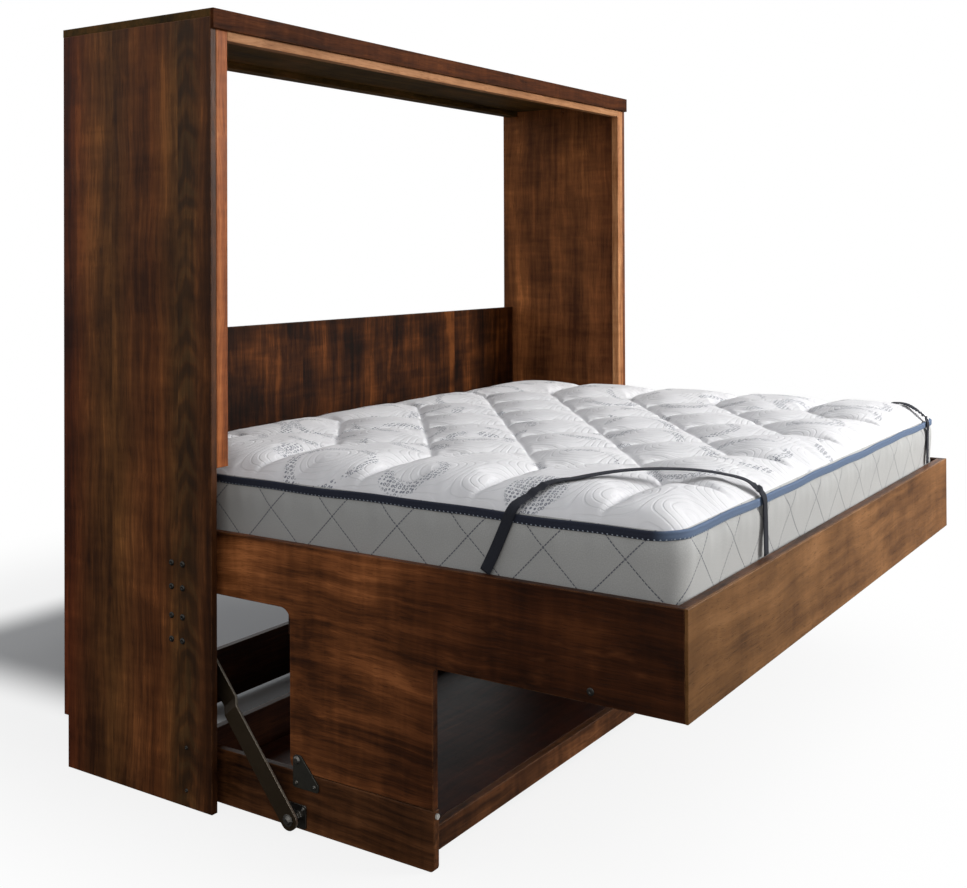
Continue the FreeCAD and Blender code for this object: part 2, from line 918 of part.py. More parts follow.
# ---- writing one file per node
PAIRS = {
    "side_panel": side_panel_left,
    "filler_stile": filler_stile_left,
    "side_board": side_board_left,
    "desk_side": desk_side_left,
    "control_arm": control_arm_left,
}

SINGLES = {
    "top_panel": top_panel,
    "top_fascia": top_fascia,
    "top_filler": top_filler,
    "back_cleat": back_cleat,
    "headboard": headboard,
    "wall_cleat": wall_cleat,
    "front_stretcher": front_stretcher,
    "rear_stretcher": rear_stretcher,
    "foot_rail": foot_rail,
    "foot_face": foot_face,
    "head_rail": head_rail,
    "cross_rail": cross_rail,
    "face_panel_front": face_panel_front,
    "face_panel_rear": face_panel_rear,
    "mattress": mattress,
    "corner_strap_left": corner_strap_left,
    "corner_strap_right": corner_strap_right,
    "desk_top": desk_top,
    "desk_front_rail": desk_front_rail,
    "desk_back_rail": desk_back_rail,
}

GROUPS = {
    "ribs": ribs,
    "slat_ledgers": slat_ledgers,
    "slats": slats,
    "desk_ribs": desk_ribs,
}

# Small parts of one kind: the solids of both sides share one node.
MIRRORED_GROUPS = {
    "bed_pivot_plates": bed_pivot_plate_left,
    "arm_pivot_plates": arm_pivot_plate_left,
    "pivot_brackets": pivot_bracket_left,
    "arm_studs": arm_stud_left,
    "plate_bolts": plate_bolts_left,
    "plate_nuts": plate_nuts_left,
    "stretcher_screws": stretcher_screws_left,
    "arm_pivot_nuts": arm_pivot_nut_left,
    "bed_pivot_bushes": bed_pivot_bush_left,
    "rail_bolts": rail_bolt_left,
    "desk_pivot_bolts": desk_pivot_bolt_left,
    "desk_screws": desk_screws_left,
    "leg_pads": leg_pad_left,
    "desk_bumpers": desk_bumper_left,
}


def both_sides(shapes):
    left = shapes if isinstance(shapes, list) else [shapes]
    return Part.makeCompound(left + [mirrored(shape) for shape in left])


def write_parts():
    os.makedirs("parts", exist_ok=True)
    nodes = {name: make() for name, make in SINGLES.items()}
    for name, make in PAIRS.items():
        left = make()
        nodes[name + "_left"] = left
        nodes[name + "_right"] = mirrored(left)
    for name, make in GROUPS.items():
        nodes[name] = Part.makeCompound(make())
    for name, make in MIRRORED_GROUPS.items():
        nodes[name] = both_sides(make())
    for name, shape in nodes.items():
        shape.exportStep("parts/" + name + ".step")
    print("cabinet", cabinet_width, depth, height, "reach", bed_reach, "front plane y", front_y)
    print(len(nodes), "nodes")


write_parts()
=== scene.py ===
import math

import bpy
import numpy as np
from mathutils import Matrix, Vector


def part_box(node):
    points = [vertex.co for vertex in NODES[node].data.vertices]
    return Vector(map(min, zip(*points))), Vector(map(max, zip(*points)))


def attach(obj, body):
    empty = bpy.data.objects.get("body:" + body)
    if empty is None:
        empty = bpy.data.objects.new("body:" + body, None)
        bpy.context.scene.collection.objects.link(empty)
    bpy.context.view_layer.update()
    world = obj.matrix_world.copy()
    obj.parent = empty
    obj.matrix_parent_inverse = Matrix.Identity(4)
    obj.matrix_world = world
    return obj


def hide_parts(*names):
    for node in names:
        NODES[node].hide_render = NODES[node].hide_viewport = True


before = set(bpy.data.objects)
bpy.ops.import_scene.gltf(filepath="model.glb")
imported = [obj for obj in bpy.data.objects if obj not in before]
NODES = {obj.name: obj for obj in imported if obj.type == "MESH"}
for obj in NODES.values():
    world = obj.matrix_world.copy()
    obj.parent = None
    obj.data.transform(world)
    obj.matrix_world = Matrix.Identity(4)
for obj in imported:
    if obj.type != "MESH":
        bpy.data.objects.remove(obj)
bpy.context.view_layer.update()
COLLECTION = bpy.context.scene.collection


# ---------------- places
def face_of(node, axis, high):
    """Where a node's box ends along an axis, on its high or its low side."""
    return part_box(node)[1 if high else 0][axis]


def islands(node):
    """The box of every separate solid in a node, sorted from left to right."""
    mesh = NODES[node].data
    points = np.array([v.co for v in mesh.vertices], float)
    keys = {}
    owner = np.empty(len(points), int)
    for index, point in enumerate(np.round(points, 6)):
        owner[index] = keys.setdefault(tuple(point), index)
    parent = list(range(len(points)))

    def root(i):
        while parent[i] != i:
            parent[i] = parent[parent[i]]
            i = parent[i]
        return i

    for polygon in mesh.polygons:
        first = root(owner[polygon.vertices[0]])
        for other in polygon.vertices[1:]:
            parent[root(owner[other])] = first
            first = root(first)
    groups = {}
    for index in range(len(points)):
        groups.setdefault(root(owner[index]), []).append(points[index])
    boxes = [(np.min(g, 0), np.max(g, 0)) for g in groups.values()]
    return sorted(boxes, key=lambda b: (round(b[0][0], 3), round(b[0][2], 3), b[0][1]))


# ---------------- material graphs
class Graph:
    """The nodes of a material or a world, written as plain calls."""

    def __init__(self, owner):
        owner.use_nodes = True
        self.tree = owner.node_tree
        self.tree.nodes.clear()

    def put(self, socket, value):
        if isinstance(value, bpy.types.NodeSocket):
            self.tree.links.new(value, socket)
        elif value is not None:
            if socket.type == "RGBA" and len(value) == 3:
                value = (*value, 1.0)
            socket.default_value = value

    def add(self, kind, inputs=None, **props):
        node = self.tree.nodes.new("ShaderNode" + kind)
        for key, value in props.items():
            setattr(node, key, value)
        for key, value in (inputs or {}).items():
            self.put(node.inputs[key], value)
        return node

    def place(self):
        return self.add("TexCoord").outputs["Object"]

    def split(self, vector):
        return self.add("SeparateXYZ", {0: vector}).outputs

    def join(self, x, y, z):
        return self.add("CombineXYZ", {0: x, 1: y, 2: z}).outputs[0]

    def math(self, operation, a, b=0.0, c=None):
        node = self.add("Math", {0: a, 1: b}, operation=operation)
        if c is not None:
            self.put(node.inputs[2], c)
        return node.outputs[0]

    def times(self, a, b):
        return self.math("MULTIPLY", a, b)

    def minus(self, a, b):
        return self.math("SUBTRACT", a, b)

    def fused(self, a, b, c):
        """a * b + c"""
        return self.math("MULTIPLY_ADD", a, b, c)

    def apart(self, a, b):
        """How far a value is from another, on either side."""
        return self.math("ABSOLUTE", self.minus(a, b))

    def vector(self, operation, a, b):
        return self.add("VectorMath", {0: a, 1: b}, operation=operation).outputs[0]

    def noise(self, vector, scale=1.0, detail=2.0, rough=0.5, bend=0.0):
        inputs = {"Vector": vector, "Scale": scale, "Detail": detail, "Roughness": rough}
        return self.add("TexNoise", {**inputs, "Distortion": bend}).outputs["Fac"]

    def span(self, value, low, high, out_low=0.0, out_high=1.0, smooth=True):
        kind = "SMOOTHSTEP" if smooth else "LINEAR"
        inputs = {0: value, 1: low, 2: high, 3: out_low, 4: out_high}
        return self.add("MapRange", inputs, interpolation_type=kind).outputs[0]

    def ramp(self, value, stops):
        node = self.add("ValToRGB", {0: value})
        points = node.color_ramp.elements
        while len(points) < len(stops):
            points.new(1.0)
        for point, (position, colour) in zip(points, stops):
            point.position = position
            point.color = (*colour, 1.0)
        return node.outputs[0]

    def mix(self, share, a, b, blend="MIX"):
        node = self.add("Mix", data_type="RGBA", blend_type=blend)
        self.put(node.inputs[0], share)
        self.put(node.inputs[6], a)
        self.put(node.inputs[7], b)
        return node.outputs[2]

    def rounded(self, radius):
        """A normal with softened edges, and how far it agrees with the flat one."""
        soft = self.add("Bevel", {"Radius": radius}, samples=4).outputs[0]
        flat = self.add("NewGeometry").outputs["Normal"]
        agree = self.add("VectorMath", {0: soft, 1: flat}, operation="DOT_PRODUCT")
        return soft, flat, agree.outputs["Value"]

    def bump(self, height, distance, strength=1.0, under=None):
        inputs = {"Height": height, "Distance": distance, "Strength": strength}
        node = self.add("Bump", inputs)
        if under is not None:
            self.put(node.inputs["Normal"], under)
        return node.outputs[0]


class Look(Graph):
    """A node material round one Principled shader."""

    def __init__(self, name):
        self.material = bpy.data.materials.new(name)
        super().__init__(self.material)
        self.output = self.add("OutputMaterial")
        self.shader = self.add("BsdfPrincipled")
        self.put(self.output.inputs[0], self.shader.outputs[0])

    def finish(self, **sockets):
        for key, value in sockets.items():
            self.put(self.shader.inputs[key.replace("_", " ")], value)
        return self.material


def srgb(red, green, blue):
    """A colour given as a picture shows it, in 0 to 255, as Blender's linear values."""

    def linear(value):
        value /= 255
        return value / 12.92 if value <= 0.04045 else ((value + 0.055) / 1.055) ** 2.4

    return (linear(red), linear(green), linear(blue))


def dress(material, names):
    """Gives a material to the CAD nodes named."""
    for name in names.split():
        data = NODES[name].data
        data.materials.clear()
        data.materials.append(material)


# ---------------- wood
def wood(
    name, grain, tones, shift=(0.0, 0.0, 0.0), streak=1.0, curl=0.35, curl_size=1.0, glow=0.3,
    rough=0.46, gloss=0.12, wear=0.5, bands=None, feather=None, clouds=0.4, leaves=None, weight=0.8,
    wobble=0.07,
):
    """Stained and lacquered veneer: grain runs along one axis, tones go from dark to light.

    bands tints the wood along an axis, as (axis, low, high, stops); feather is a dark figure
    along a leaf, as (y of its middle, half its width, slope); leaves is (axis, seams).
    """
    g = Look(name)
    place = g.vector("ADD", g.place(), shift)
    axis = "XYZ".index(grain)
    if leaves:
        # the face is laid from several leaves of veneer, each cut from another place
        leaf_axis, seams = leaves
        jump = 0.0
        for number, seam in enumerate(seams):
            past = g.math("GREATER_THAN", g.split(g.place())[leaf_axis], seam)
            jump = g.fused(past, 0.57 + 0.31 * number, jump)
        place = g.vector("ADD", place, g.join(*[jump if i == axis else 0.0 for i in range(3)]))

    def stretched(across, along):
        return g.vector("MULTIPLY", warped, [along if i == axis else across for i in range(3)])

    # the grain sways broadly and ripples finely, across its own direction only
    warped = place
    for scale, detail, reach in ((2.3, 2.0, 0.055), (14.0, 1.0, 0.006)):
        inputs = {"Vector": place, "Scale": scale, "Detail": detail}
        sway = g.add("TexNoise", inputs).outputs["Color"]
        sway = g.vector("SUBTRACT", sway, (0.5, 0.5, 0.5))
        sway = g.vector("MULTIPLY", sway, [0.0 if i == axis else reach for i in range(3)])
        warped = g.vector("ADD", warped, sway)

    broad = g.noise(stretched(9.0, 0.75), detail=3.0, rough=0.55)
    fine = g.noise(stretched(62.0 * streak, 2.1), detail=5.0, rough=0.62)
    hair = g.noise(stretched(310.0 * streak, 6.5), detail=2.0, rough=0.6)
    base = g.fused(broad, 0.85, 0.475 * (1 - weight))
    tone = g.fused(fine, 0.95 * weight, base)
    tone = g.fused(hair, 0.26, tone)
    cross = g.noise(stretched(7.0 / curl_size, 46.0 / curl_size), detail=2.0, rough=0.55, bend=0.4)
    tone = g.math("ADD", tone, g.times(g.minus(cross, 0.5), curl))
    cloud = g.noise(place, scale=5.0, detail=3.0, rough=0.6)
    tone = g.math("ADD", tone, g.times(g.minus(cloud, 0.5), clouds))
    level = g.span(tone, 0.76, 1.31, smooth=False)
    steps = [(i / (len(tones) - 1), tone_colour) for i, tone_colour in enumerate(tones)]
    colour = g.ramp(level, steps)

    if bands:
        band_axis, low, high, stops = bands
        wander = g.noise(g.vector("MULTIPLY", place, (1.0, 1.0, 0.9)), scale=2.6, detail=3.0)
        wander = g.minus(wander, 0.5)
        run = g.fused(wander, wobble, g.split(place)[band_axis])
        tint = g.ramp(g.span(run, low, high, smooth=False), stops)
        colour = g.mix(1.0, colour, tint, "MULTIPLY")
    if feather:
        centre, width, rise = feather
        parts = g.split(place)
        off = g.minus(parts[1], centre)
        off = g.math("ADD", off, g.times(g.minus(broad, 0.5), 0.03))
        away = g.math("ABSOLUTE", off)
        climb = g.fused(away, rise, parts[2])
        climb = g.fused(g.noise(place, scale=6.5, detail=2.0), 0.22, climb)
        wave = g.math("SINE", g.times(climb, 74.0))
        wave = g.times(wave, g.noise(place, scale=9.0, detail=2.0))
        mask = g.span(away, width * 0.35, width, 1.0, 0.0)
        amount = g.times(mask, g.span(wave, -0.35, 0.5, 0.22, 0.62))
        colour = g.mix(amount, colour, srgb(32, 26, 18))
        amount = g.times(mask, g.span(wave, -0.55, -0.15, 0.22, 0.0))
        colour = g.mix(amount, colour, srgb(92, 76, 48))

    spots = g.noise(stretched(20.0, 5.5), detail=3.0, rough=0.65)
    amber = g.times(g.span(spots, 0.58, 0.78), glow)
    colour = g.mix(amber, colour, g.mix(0.5, tones[-1], srgb(150, 84, 42)))
    pores = g.noise(stretched(680.0, 22.0), detail=1.0, rough=0.5)
    pores = g.span(pores, 0.60, 0.72)
    colour = g.mix(g.times(pores, 0.42), colour, g.mix(0.6, tones[0], (0, 0, 0)))

    # edges are rubbed back to paler wood
    soft, _, agree = g.rounded(0.0035)
    edge = g.span(agree, 0.80, 0.992, 1.0, 0.0)
    rub = g.span(g.noise(place, scale=34.0, detail=3.0, rough=0.65), 0.32, 0.62)
    edge = g.times(edge, g.times(rub, wear))
    colour = g.mix(edge, colour, g.mix(0.45, tones[-1], srgb(170, 120, 76)))

    shine = g.noise(g.vector("MULTIPLY", place, (2.0, 2.0, 5.0)), scale=3.0, detail=4.0, rough=0.6)
    roughness = g.fused(shine, 0.16, rough - 0.08)
    roughness = g.fused(pores, 0.12, roughness)
    height = g.fused(pores, -0.7, g.times(fine, 0.5))
    normal = g.bump(height, 0.00022, 0.55, soft)
    return g.finish(
        Base_Color=colour, Roughness=roughness, Specular_IOR_Level=gloss, Normal=normal
    )


def stain(*colours):
    """A wood's tones, dark to light."""
    return [srgb(*colour) for colour in colours]


WALNUT = stain((54, 30, 16), (76, 46, 26), (98, 61, 35), (120, 76, 44), (156, 101, 59))
# tones for the parts under the bed: dark walnut, darkened further with painted shade
SHADED_WALNUT = stain((14, 6, 4), (28, 13, 8), (44, 22, 13), (60, 32, 20), (80, 46, 28))
HEAD = stain((15, 6, 2), (32, 14, 5), (50, 25, 9), (72, 38, 15), (104, 58, 26))
RAIL = stain((28, 14, 8), (54, 31, 17), (80, 48, 27), (106, 66, 39), (136, 88, 54))
FOOT = stain((70, 45, 24), (98, 66, 38), (120, 84, 51), (138, 98, 62), (154, 112, 75))
FASCIA = stain((30, 13, 6), (50, 25, 11), (72, 37, 17), (94, 52, 25))
DESKTOP = stain((26, 10, 6), (44, 20, 12), (62, 30, 18), (82, 44, 27))
AMBER = stain((78, 37, 14), (112, 58, 26), (142, 78, 38), (166, 97, 51), (184, 118, 69))
HONEY = stain((108, 62, 33), (146, 94, 56), (176, 120, 78), (198, 142, 96), (214, 162, 116))
PALE = stain((110, 72, 42), (146, 99, 62), (172, 122, 82), (190, 140, 100))
OLIVE = stain((40, 28, 10), (62, 46, 19), (80, 59, 26), (98, 68, 33), (118, 78, 41))
PINE = stain((150, 118, 80), (184, 150, 108), (204, 172, 130), (214, 186, 146))

# the y of the side panels' front and back edges; the right panel's grain comes from another y
SIDE_FRONT, SIDE_BACK = 0.314, 0.827
RIGHT_SHIFT = 0.61

side_bands = (
    1,
    SIDE_FRONT,
    SIDE_BACK,
    [
        (0.0, (0.40, 0.36, 0.33)), (0.035, (0.50, 0.45, 0.40)), (0.07, (1.00, 0.92, 0.86)),
        (0.14, (0.78, 0.84, 0.76)), (0.24, (0.86, 0.90, 0.80)), (0.36, (1.28, 1.08, 0.94)),
        (0.50, (1.12, 1.02, 0.94)), (0.64, (1.16, 1.22, 1.06)), (0.80, (1.00, 0.92, 0.82)),
        (0.93, (0.86, 0.58, 0.54)), (1.0, (0.66, 0.36, 0.36)),
    ],
)
wood_side_left = wood(
    "walnut_side_left", "Z", WALNUT, curl=0.2, curl_size=1.5, glow=0.4, bands=side_bands,
    feather=(0.394, 0.058, 1.3), leaves=(1, (0.421, 0.647)), weight=0.85, clouds=0.75,
)
wood_side_right = wood(
    "walnut_side_right",
    "Z",
    WALNUT,
    shift=(0.0, RIGHT_SHIFT, 0.37),
    curl=0.26,
    weight=0.6,
    clouds=0.7,
    glow=0.6,
    bands=(
        1,
        SIDE_FRONT + RIGHT_SHIFT,
        SIDE_BACK + RIGHT_SHIFT,
        [(0.0, (1.05, 0.85, 0.75)), (0.3, (1.7, 1.55, 1.4)), (1.0, (2.0, 1.8, 1.6))],
    ),
)
wood_top = wood("walnut_top", "X", OLIVE, curl=0.2, glow=0.3, rough=0.56, gloss=0.08)
wood_fascia = wood("walnut_fascia", "X", FASCIA, curl=0.25, rough=0.55, gloss=0.03)
wood_headboard = wood(
    "walnut_headboard", "Z", HEAD, shift=(0.3, 0, 0.7), streak=0.75, curl=0.4, curl_size=1.6,
    glow=0.3, clouds=0.7, gloss=0.06, rough=0.55, leaves=(0, (-0.62, -0.2, 0.24, 0.66)),
)
rail_bands = (
    1,
    -0.43,
    1.15,
    [
        (0.0, (0.34, 0.26, 0.20)), (0.22, (0.42, 0.32, 0.25)), (0.36, (0.90, 0.74, 0.64)),
        (0.48, (2.10, 1.85, 1.60)), (0.80, (2.40, 2.15, 1.85)), (0.88, (0.85, 0.72, 0.64)),
        (1.0, (0.55, 0.42, 0.36)),
    ],
)
wood_rail = wood(
    "walnut_rail", "Y", RAIL, shift=(0.2, 0.4, 0.1), curl=0.2, curl_size=1.3, glow=0.35, rough=0.42,
    wear=0.9, clouds=0.6, weight=0.6, bands=rail_bands,
)
# painted shading: the foot face is darker at its left end and lighter towards the right, where the
# key light falls
foot_shading_bands = (
    0,
    -0.54,
    1.54,
    [
        (0.0, (0.66, 0.62, 0.50)), (0.3, (0.90, 0.86, 0.76)), (0.6, (1.10, 1.05, 0.96)),
        (1.0, (0.95, 0.88, 0.80)),
    ],
)
wood_foot = wood(
    "walnut_foot", "X", FOOT, shift=(0.5, 0.1, 0.3), curl=0.16, glow=0.1, rough=0.45, wear=0.7,
    streak=0.8, weight=0.55, clouds=0.65, bands=foot_shading_bands,
)
desk_shift = (0.9, 0.2, 0.5)
wood_desk = wood("walnut_desk", "Y", RAIL, desk_shift, curl=0.16, glow=0.25, rough=0.42, wear=0.7)
wood_long = wood("walnut_long", "X", RAIL, shift=(0.4, 0.7, 0.2), curl=0.3, glow=0.25, rough=0.42)
# the parts under the bed get very dark tones: painted shade on top of the wood's own colour
wood_inner = wood("walnut_inner", "X", SHADED_WALNUT, shift=(0.6, 0.1, 0.4), curl=0.15, glow=0.15)
wood_desktop = wood("walnut_desktop", "X", DESKTOP, shift=(0.1, 0.3, 0.8), glow=0.3, rough=0.36)
stile = {"curl": 0.2, "glow": 0.2, "rough": 0.5, "wear": 0.3, "streak": 1.4}
wood_amber = wood("amber_stile", "Z", AMBER, **stile)
wood_honey = wood("honey_stile", "Z", HONEY, **stile)
filler_shadow_bands = (
    2,
    face_of("top_filler", 2, False),
    face_of("top_filler", 2, True),
    # the upper part of the strip is painted dark: a painted shadow under the fascia
    [(0.0, (1, 1, 1)), (0.60, (1, 1, 1)), (0.70, (0.09, 0.06, 0.05)), (1.0, (0.04, 0.03, 0.03))],
)
wood_pale = wood(
    "pale_filler", "X", PALE, curl=0.1, glow=0.1, rough=0.55, wear=0.2, bands=filler_shadow_bands,
    wobble=0.0,
)
plain = {"curl": 0.1, "glow": 0.1, "rough": 0.6, "wear": 0.2, "streak": 0.7}
wood_plain = wood("plain_pine", "Y", PINE, **plain)
wood_plain_long = wood("plain_pine_long", "X", PINE, shift=(0.2, 0.2, 0.2), **plain)

dress(wood_side_left, "side_panel_left")
dress(wood_side_right, "side_panel_right")
dress(wood_amber, "filler_stile_left")
dress(wood_honey, "filler_stile_right")
dress(wood_top, "top_panel back_cleat")
dress(wood_fascia, "top_fascia")
dress(wood_pale, "top_filler")
dress(wood_headboard, "headboard")
dress(wood_rail, "side_board_left side_board_right")
dress(wood_foot, "foot_face")
dress(wood_long, "foot_rail head_rail desk_front_rail")
dress(wood_inner, "front_stretcher rear_stretcher cross_rail desk_back_rail")
dress(wood_inner, "face_panel_front face_panel_rear")
dress(wood_plain, "slats desk_ribs")
dress(wood_plain_long, "wall_cleat ribs slat_ledgers")
dress(wood_desk, "desk_side_left desk_side_right")
dress(wood_desktop, "desk_top")


# ---------------- metal, plastic, rubber
def metal(name, colour, rough, rim_highlight=None):
    """Brushed steel with a mottled finish and edges worn bright; a rim colour is a painted
    highlight on a bar's narrow sides.
    """
    g = Look(name)
    place = g.place()
    mottle = g.noise(place, scale=60.0, detail=4.0, rough=0.65)
    scratch = g.noise(g.vector("MULTIPLY", place, (900.0, 60.0, 60.0)), detail=2.0)
    soft, flat, agree = g.rounded(0.0012)
    edge = g.times(g.span(agree, 0.78, 0.99, 1.0, 0.0), 0.6)
    base = g.mix(g.times(mottle, 0.4), colour, tuple(c * 0.35 for c in colour))
    base = g.mix(edge, base, tuple(min(1.0, c * 2.2 + 0.06) for c in colour))
    if rim_highlight:
        # a painted highlight: the narrow sides of a flat bar, which turns about X, are painted
        # brighter than its broad faces
        across = g.math("ABSOLUTE", g.split(flat)[0])
        base = g.mix(g.span(across, 0.3, 0.7, 0.85, 0.0), base, rim_highlight)
    roughness = g.fused(mottle, 0.22, rough - 0.1)
    roughness = g.fused(scratch, 0.1, roughness)
    normal = g.bump(scratch, 0.00004, 0.6, soft)
    return g.finish(Base_Color=base, Metallic=1.0, Roughness=roughness, Normal=normal)


def moulded(name, colour, rough):
    """Moulded plastic or rubber with a fine grain."""
    g = Look(name)
    place = g.place()
    speckle = g.noise(place, scale=220.0, detail=3.0)
    patch = g.noise(place, scale=18.0, detail=3.0)
    base = g.mix(g.times(patch, 0.5), colour, tuple(c * 0.6 for c in colour))
    normal = g.bump(speckle, 0.0001, 0.5)
    roughness = g.fused(speckle, 0.2, rough - 0.1)
    return g.finish(Base_Color=base, Roughness=roughness, Normal=normal)


steel_black = metal("black_steel", (0.045, 0.043, 0.04), 0.42)
steel_dark = metal("dark_steel", (0.06, 0.058, 0.05), 0.45)
steel_bright = metal("bright_steel", (0.42, 0.41, 0.39), 0.32)
# the arms' rim colour is a painted highlight along their narrow sides
steel_bronze = metal("bronze_steel", (0.075, 0.055, 0.035), 0.4, rim_highlight=(0.5, 0.45, 0.38))
steel_worn = metal("worn_steel", (0.13, 0.125, 0.115), 0.34)
plastic_dark = moulded("bush_plastic", (0.02, 0.02, 0.02), 0.5)
rubber_pale = moulded("pale_rubber", (0.55, 0.54, 0.5), 0.75)

dress(steel_dark, "bed_pivot_plates arm_pivot_plates pivot_brackets")
dress(steel_bright, "plate_nuts arm_pivot_nuts")
dress(steel_bronze, "control_arm_left control_arm_right")
dress(steel_black, "plate_bolts rail_bolts stretcher_screws")
dress(steel_worn, "desk_screws desk_pivot_bolts arm_studs")
dress(plastic_dark, "bed_pivot_bushes")
dress(rubber_pale, "leg_pads desk_bumpers")


# ---------------- mesh building
def new_piece(name, vertices, faces, materials, body):
    """A smooth mesh object that rides on a body; without one, the caller says what it rides."""
    mesh = bpy.data.meshes.new(name)
    mesh.from_pydata([tuple(v) for v in vertices], [], faces)
    mesh.validate()
    for material in materials:
        mesh.materials.append(material)
    mesh.polygons.foreach_set("use_smooth", [True] * len(mesh.polygons))
    mesh.update()
    piece = bpy.data.objects.new(name, mesh)
    COLLECTION.objects.link(piece)
    if body:
        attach(piece, body)
    return piece


def rings_mesh(rings, closed=True):
    """Vertices and faces of a skin over rings of equal length, with or without its ends."""
    size = len(rings[0])
    vertices = [point for ring in rings for point in ring]
    faces = []
    for row in range(len(rings) - 1):
        for i in range(size):
            j = (i + 1) % size
            a, b = row * size, (row + 1) * size
            faces.append((a + i, a + j, b + j, b + i))
    if closed:
        faces.append(tuple(range(size - 1, -1, -1)))
        faces.append(tuple(range((len(rings) - 1) * size, len(rings) * size)))
    return vertices, faces


def lay_uv(piece, uvs):
    """Writes the map called run, which the cloth materials read, face by face."""
    layer = piece.data.uv_layers.new(name="run")
    for polygon, uv in zip(piece.data.polygons, uvs):
        for loop_index, place in zip(polygon.loop_indices, uv):
            layer.data[loop_index].uv = place


# ---------------- bolts and screws
SIDES = 24  # points round a fastener
# a head from its middle out, as shares of its radius and of its height
HEAD_PROFILE = (
    (0.0, 0.62), (0.34, 0.60), (0.36, 0.03), (0.42, 0.0), (0.66, 0.07), (0.84, 0.24), (0.95, 0.50),
    (1.0, 0.78), (1.0, 1.0),
)


def fastener(box, head_h, shank_share, hexed):
    """A domed head with a socket and a straight shank that fill a fastener's own box."""
    low, high = box
    out = 1 if low[0] + high[0] > 0 else -1
    top = high[0] if out > 0 else low[0]
    tip = low[0] if out > 0 else high[0]
    y, z = (low[1] + high[1]) / 2, (low[2] + high[2]) / 2
    r = (high[2] - low[2]) / 2
    shank_r = r * shank_share
    length = abs(top - tip)
    profile = [(out_r * r, down * head_h) for out_r, down in HEAD_PROFILE]
    profile += [(shank_r, head_h), (shank_r, head_h + 0.3 * length)]
    profile += [(shank_r, length - 0.0012), (shank_r * 0.6, length), (0.0, length)]
    rings = []
    for number, (radius, down) in enumerate(profile):
        ring = []
        for k in range(SIDES):
            turn = 2 * math.pi * k / SIDES
            reach = max(radius, 1e-5)
            if number in (1, 2):
                # the socket has six or four sides
                share = math.pi / 3 if hexed else math.pi / 2
                reach *= math.cos(share / 2) / math.cos((turn % share) - share / 2) * 1.06
            across, up = reach * math.cos(turn), reach * math.sin(turn)
            ring.append((top - out * down, y + across, z + out * up))
        rings.append(ring)
    vertices, faces = rings_mesh(rings)
    return vertices, [face[::-1] for face in faces]


def fasteners(name, node, body, head_h, material, shank_share=0.5, hexed=True):
    """One piece for all the fasteners of a node."""
    vertices, faces = [], []
    for box in islands(node):
        more, skins = fastener(box, head_h, shank_share, hexed)
        faces += [tuple(v + len(vertices) for v in face) for face in skins]
        vertices += more
    piece = new_piece(name, vertices, faces, [material], body)
    split = piece.modifiers.new("edges", "EDGE_SPLIT")
    split.split_angle = math.radians(42)
    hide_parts(node)


fasteners("plate_bolt_heads", "plate_bolts", "cabinet", 0.0035, steel_black)
fasteners("stretcher_screw_heads", "stretcher_screws", "cabinet", 0.0025, steel_black, hexed=False)
fasteners("rail_bolt_heads", "rail_bolts", "bed", 0.002, steel_black, shank_share=0.41)
fasteners("desk_screw_heads", "desk_screws", "desk", 0.0025, steel_worn, hexed=False)


# ---------------- mattress
MAT_X = 1.016  # half of a queen mattress's length
MAT_BACK = face_of("mattress", 1, True)
MAT_FRONT = face_of("mattress", 1, False)
EDGE_H, CROWN_H, SEAM_DROP = 0.238, 0.030, 0.011
TAPE_PROUD = 0.004  # the tape stands this far out of the cloth
SEW_IN = 0.004  # the top cloth's edge lies this far inside the outline
half_y = (MAT_BACK - MAT_FRONT) / 2 - TAPE_PROUD
mid_y = (MAT_BACK + MAT_FRONT) / 2
deck_z = face_of("mattress", 2, False)
edge_z = deck_z + EDGE_H
seam_z = edge_z - SEAM_DROP
crown_z = edge_z + CROWN_H
corner_r = 0.070 - SEW_IN
# the grid of the top cloth, and in steps of it the tufts' spacing and the outermost ones
STEP_X, STEP_Y = 0.0125, 0.0093125
NX, NY = 81, 81
TUFT = 32
LAST_X, LAST_Y = 56, 64
PITCH_X, PITCH_Y = TUFT * STEP_X, TUFT * STEP_Y
# the creases run diagonally: how far apart they are, and the tufts along each
CREASE_GAP, TUFT_GAP = 0.239, 0.249


def sheet_lines(step, number, half):
    """Grid lines at even steps, the outermost ones on the edge."""
    line = np.arange(-number, number + 1) * step
    line[0], line[-1] = -half, half
    return line


inner_x, inner_y = MAT_X - SEW_IN, half_y - SEW_IN
xs, ys = sheet_lines(STEP_X, NX, inner_x), sheet_lines(STEP_Y, NY, inner_y)
grid_x, grid_y = np.meshgrid(xs, ys, indexing="ij")
index_x, index_y = np.meshgrid(np.arange(-NX, NX + 1), np.arange(-NY, NY + 1), indexing="ij")


def round_corners(x, y, hx, hy, r):
    """Squares at the corners of a rectangle bent into quarter circles."""
    out_x, out_y = x.copy(), y.copy()
    u = (np.abs(x) - (hx - r)) / r
    v = (np.abs(y) - (hy - r)) / r
    at_corner = (u > 0) & (v > 0)
    u, v = np.clip(u, 0, 1), np.clip(v, 0, 1)
    bent_u, bent_v = u * np.sqrt(1 - v * v / 2), v * np.sqrt(1 - u * u / 2)
    out_x[at_corner] = (np.sign(x) * (hx - r + bent_u * r))[at_corner]
    out_y[at_corner] = (np.sign(y) * (hy - r + bent_v * r))[at_corner]
    return out_x, out_y


plan_x, plan_y = round_corners(grid_x, grid_y, inner_x, inner_y, corner_r)


def edge_distance(x, y, hx, hy, r):
    """How far points lie inside a rectangle with round corners."""
    qx, qy = np.abs(x) - (hx - r), np.abs(y) - (hy - r)
    outside = np.hypot(np.maximum(qx, 0), np.maximum(qy, 0))
    inside = np.minimum(np.maximum(qx, qy), 0)
    return r - outside - inside


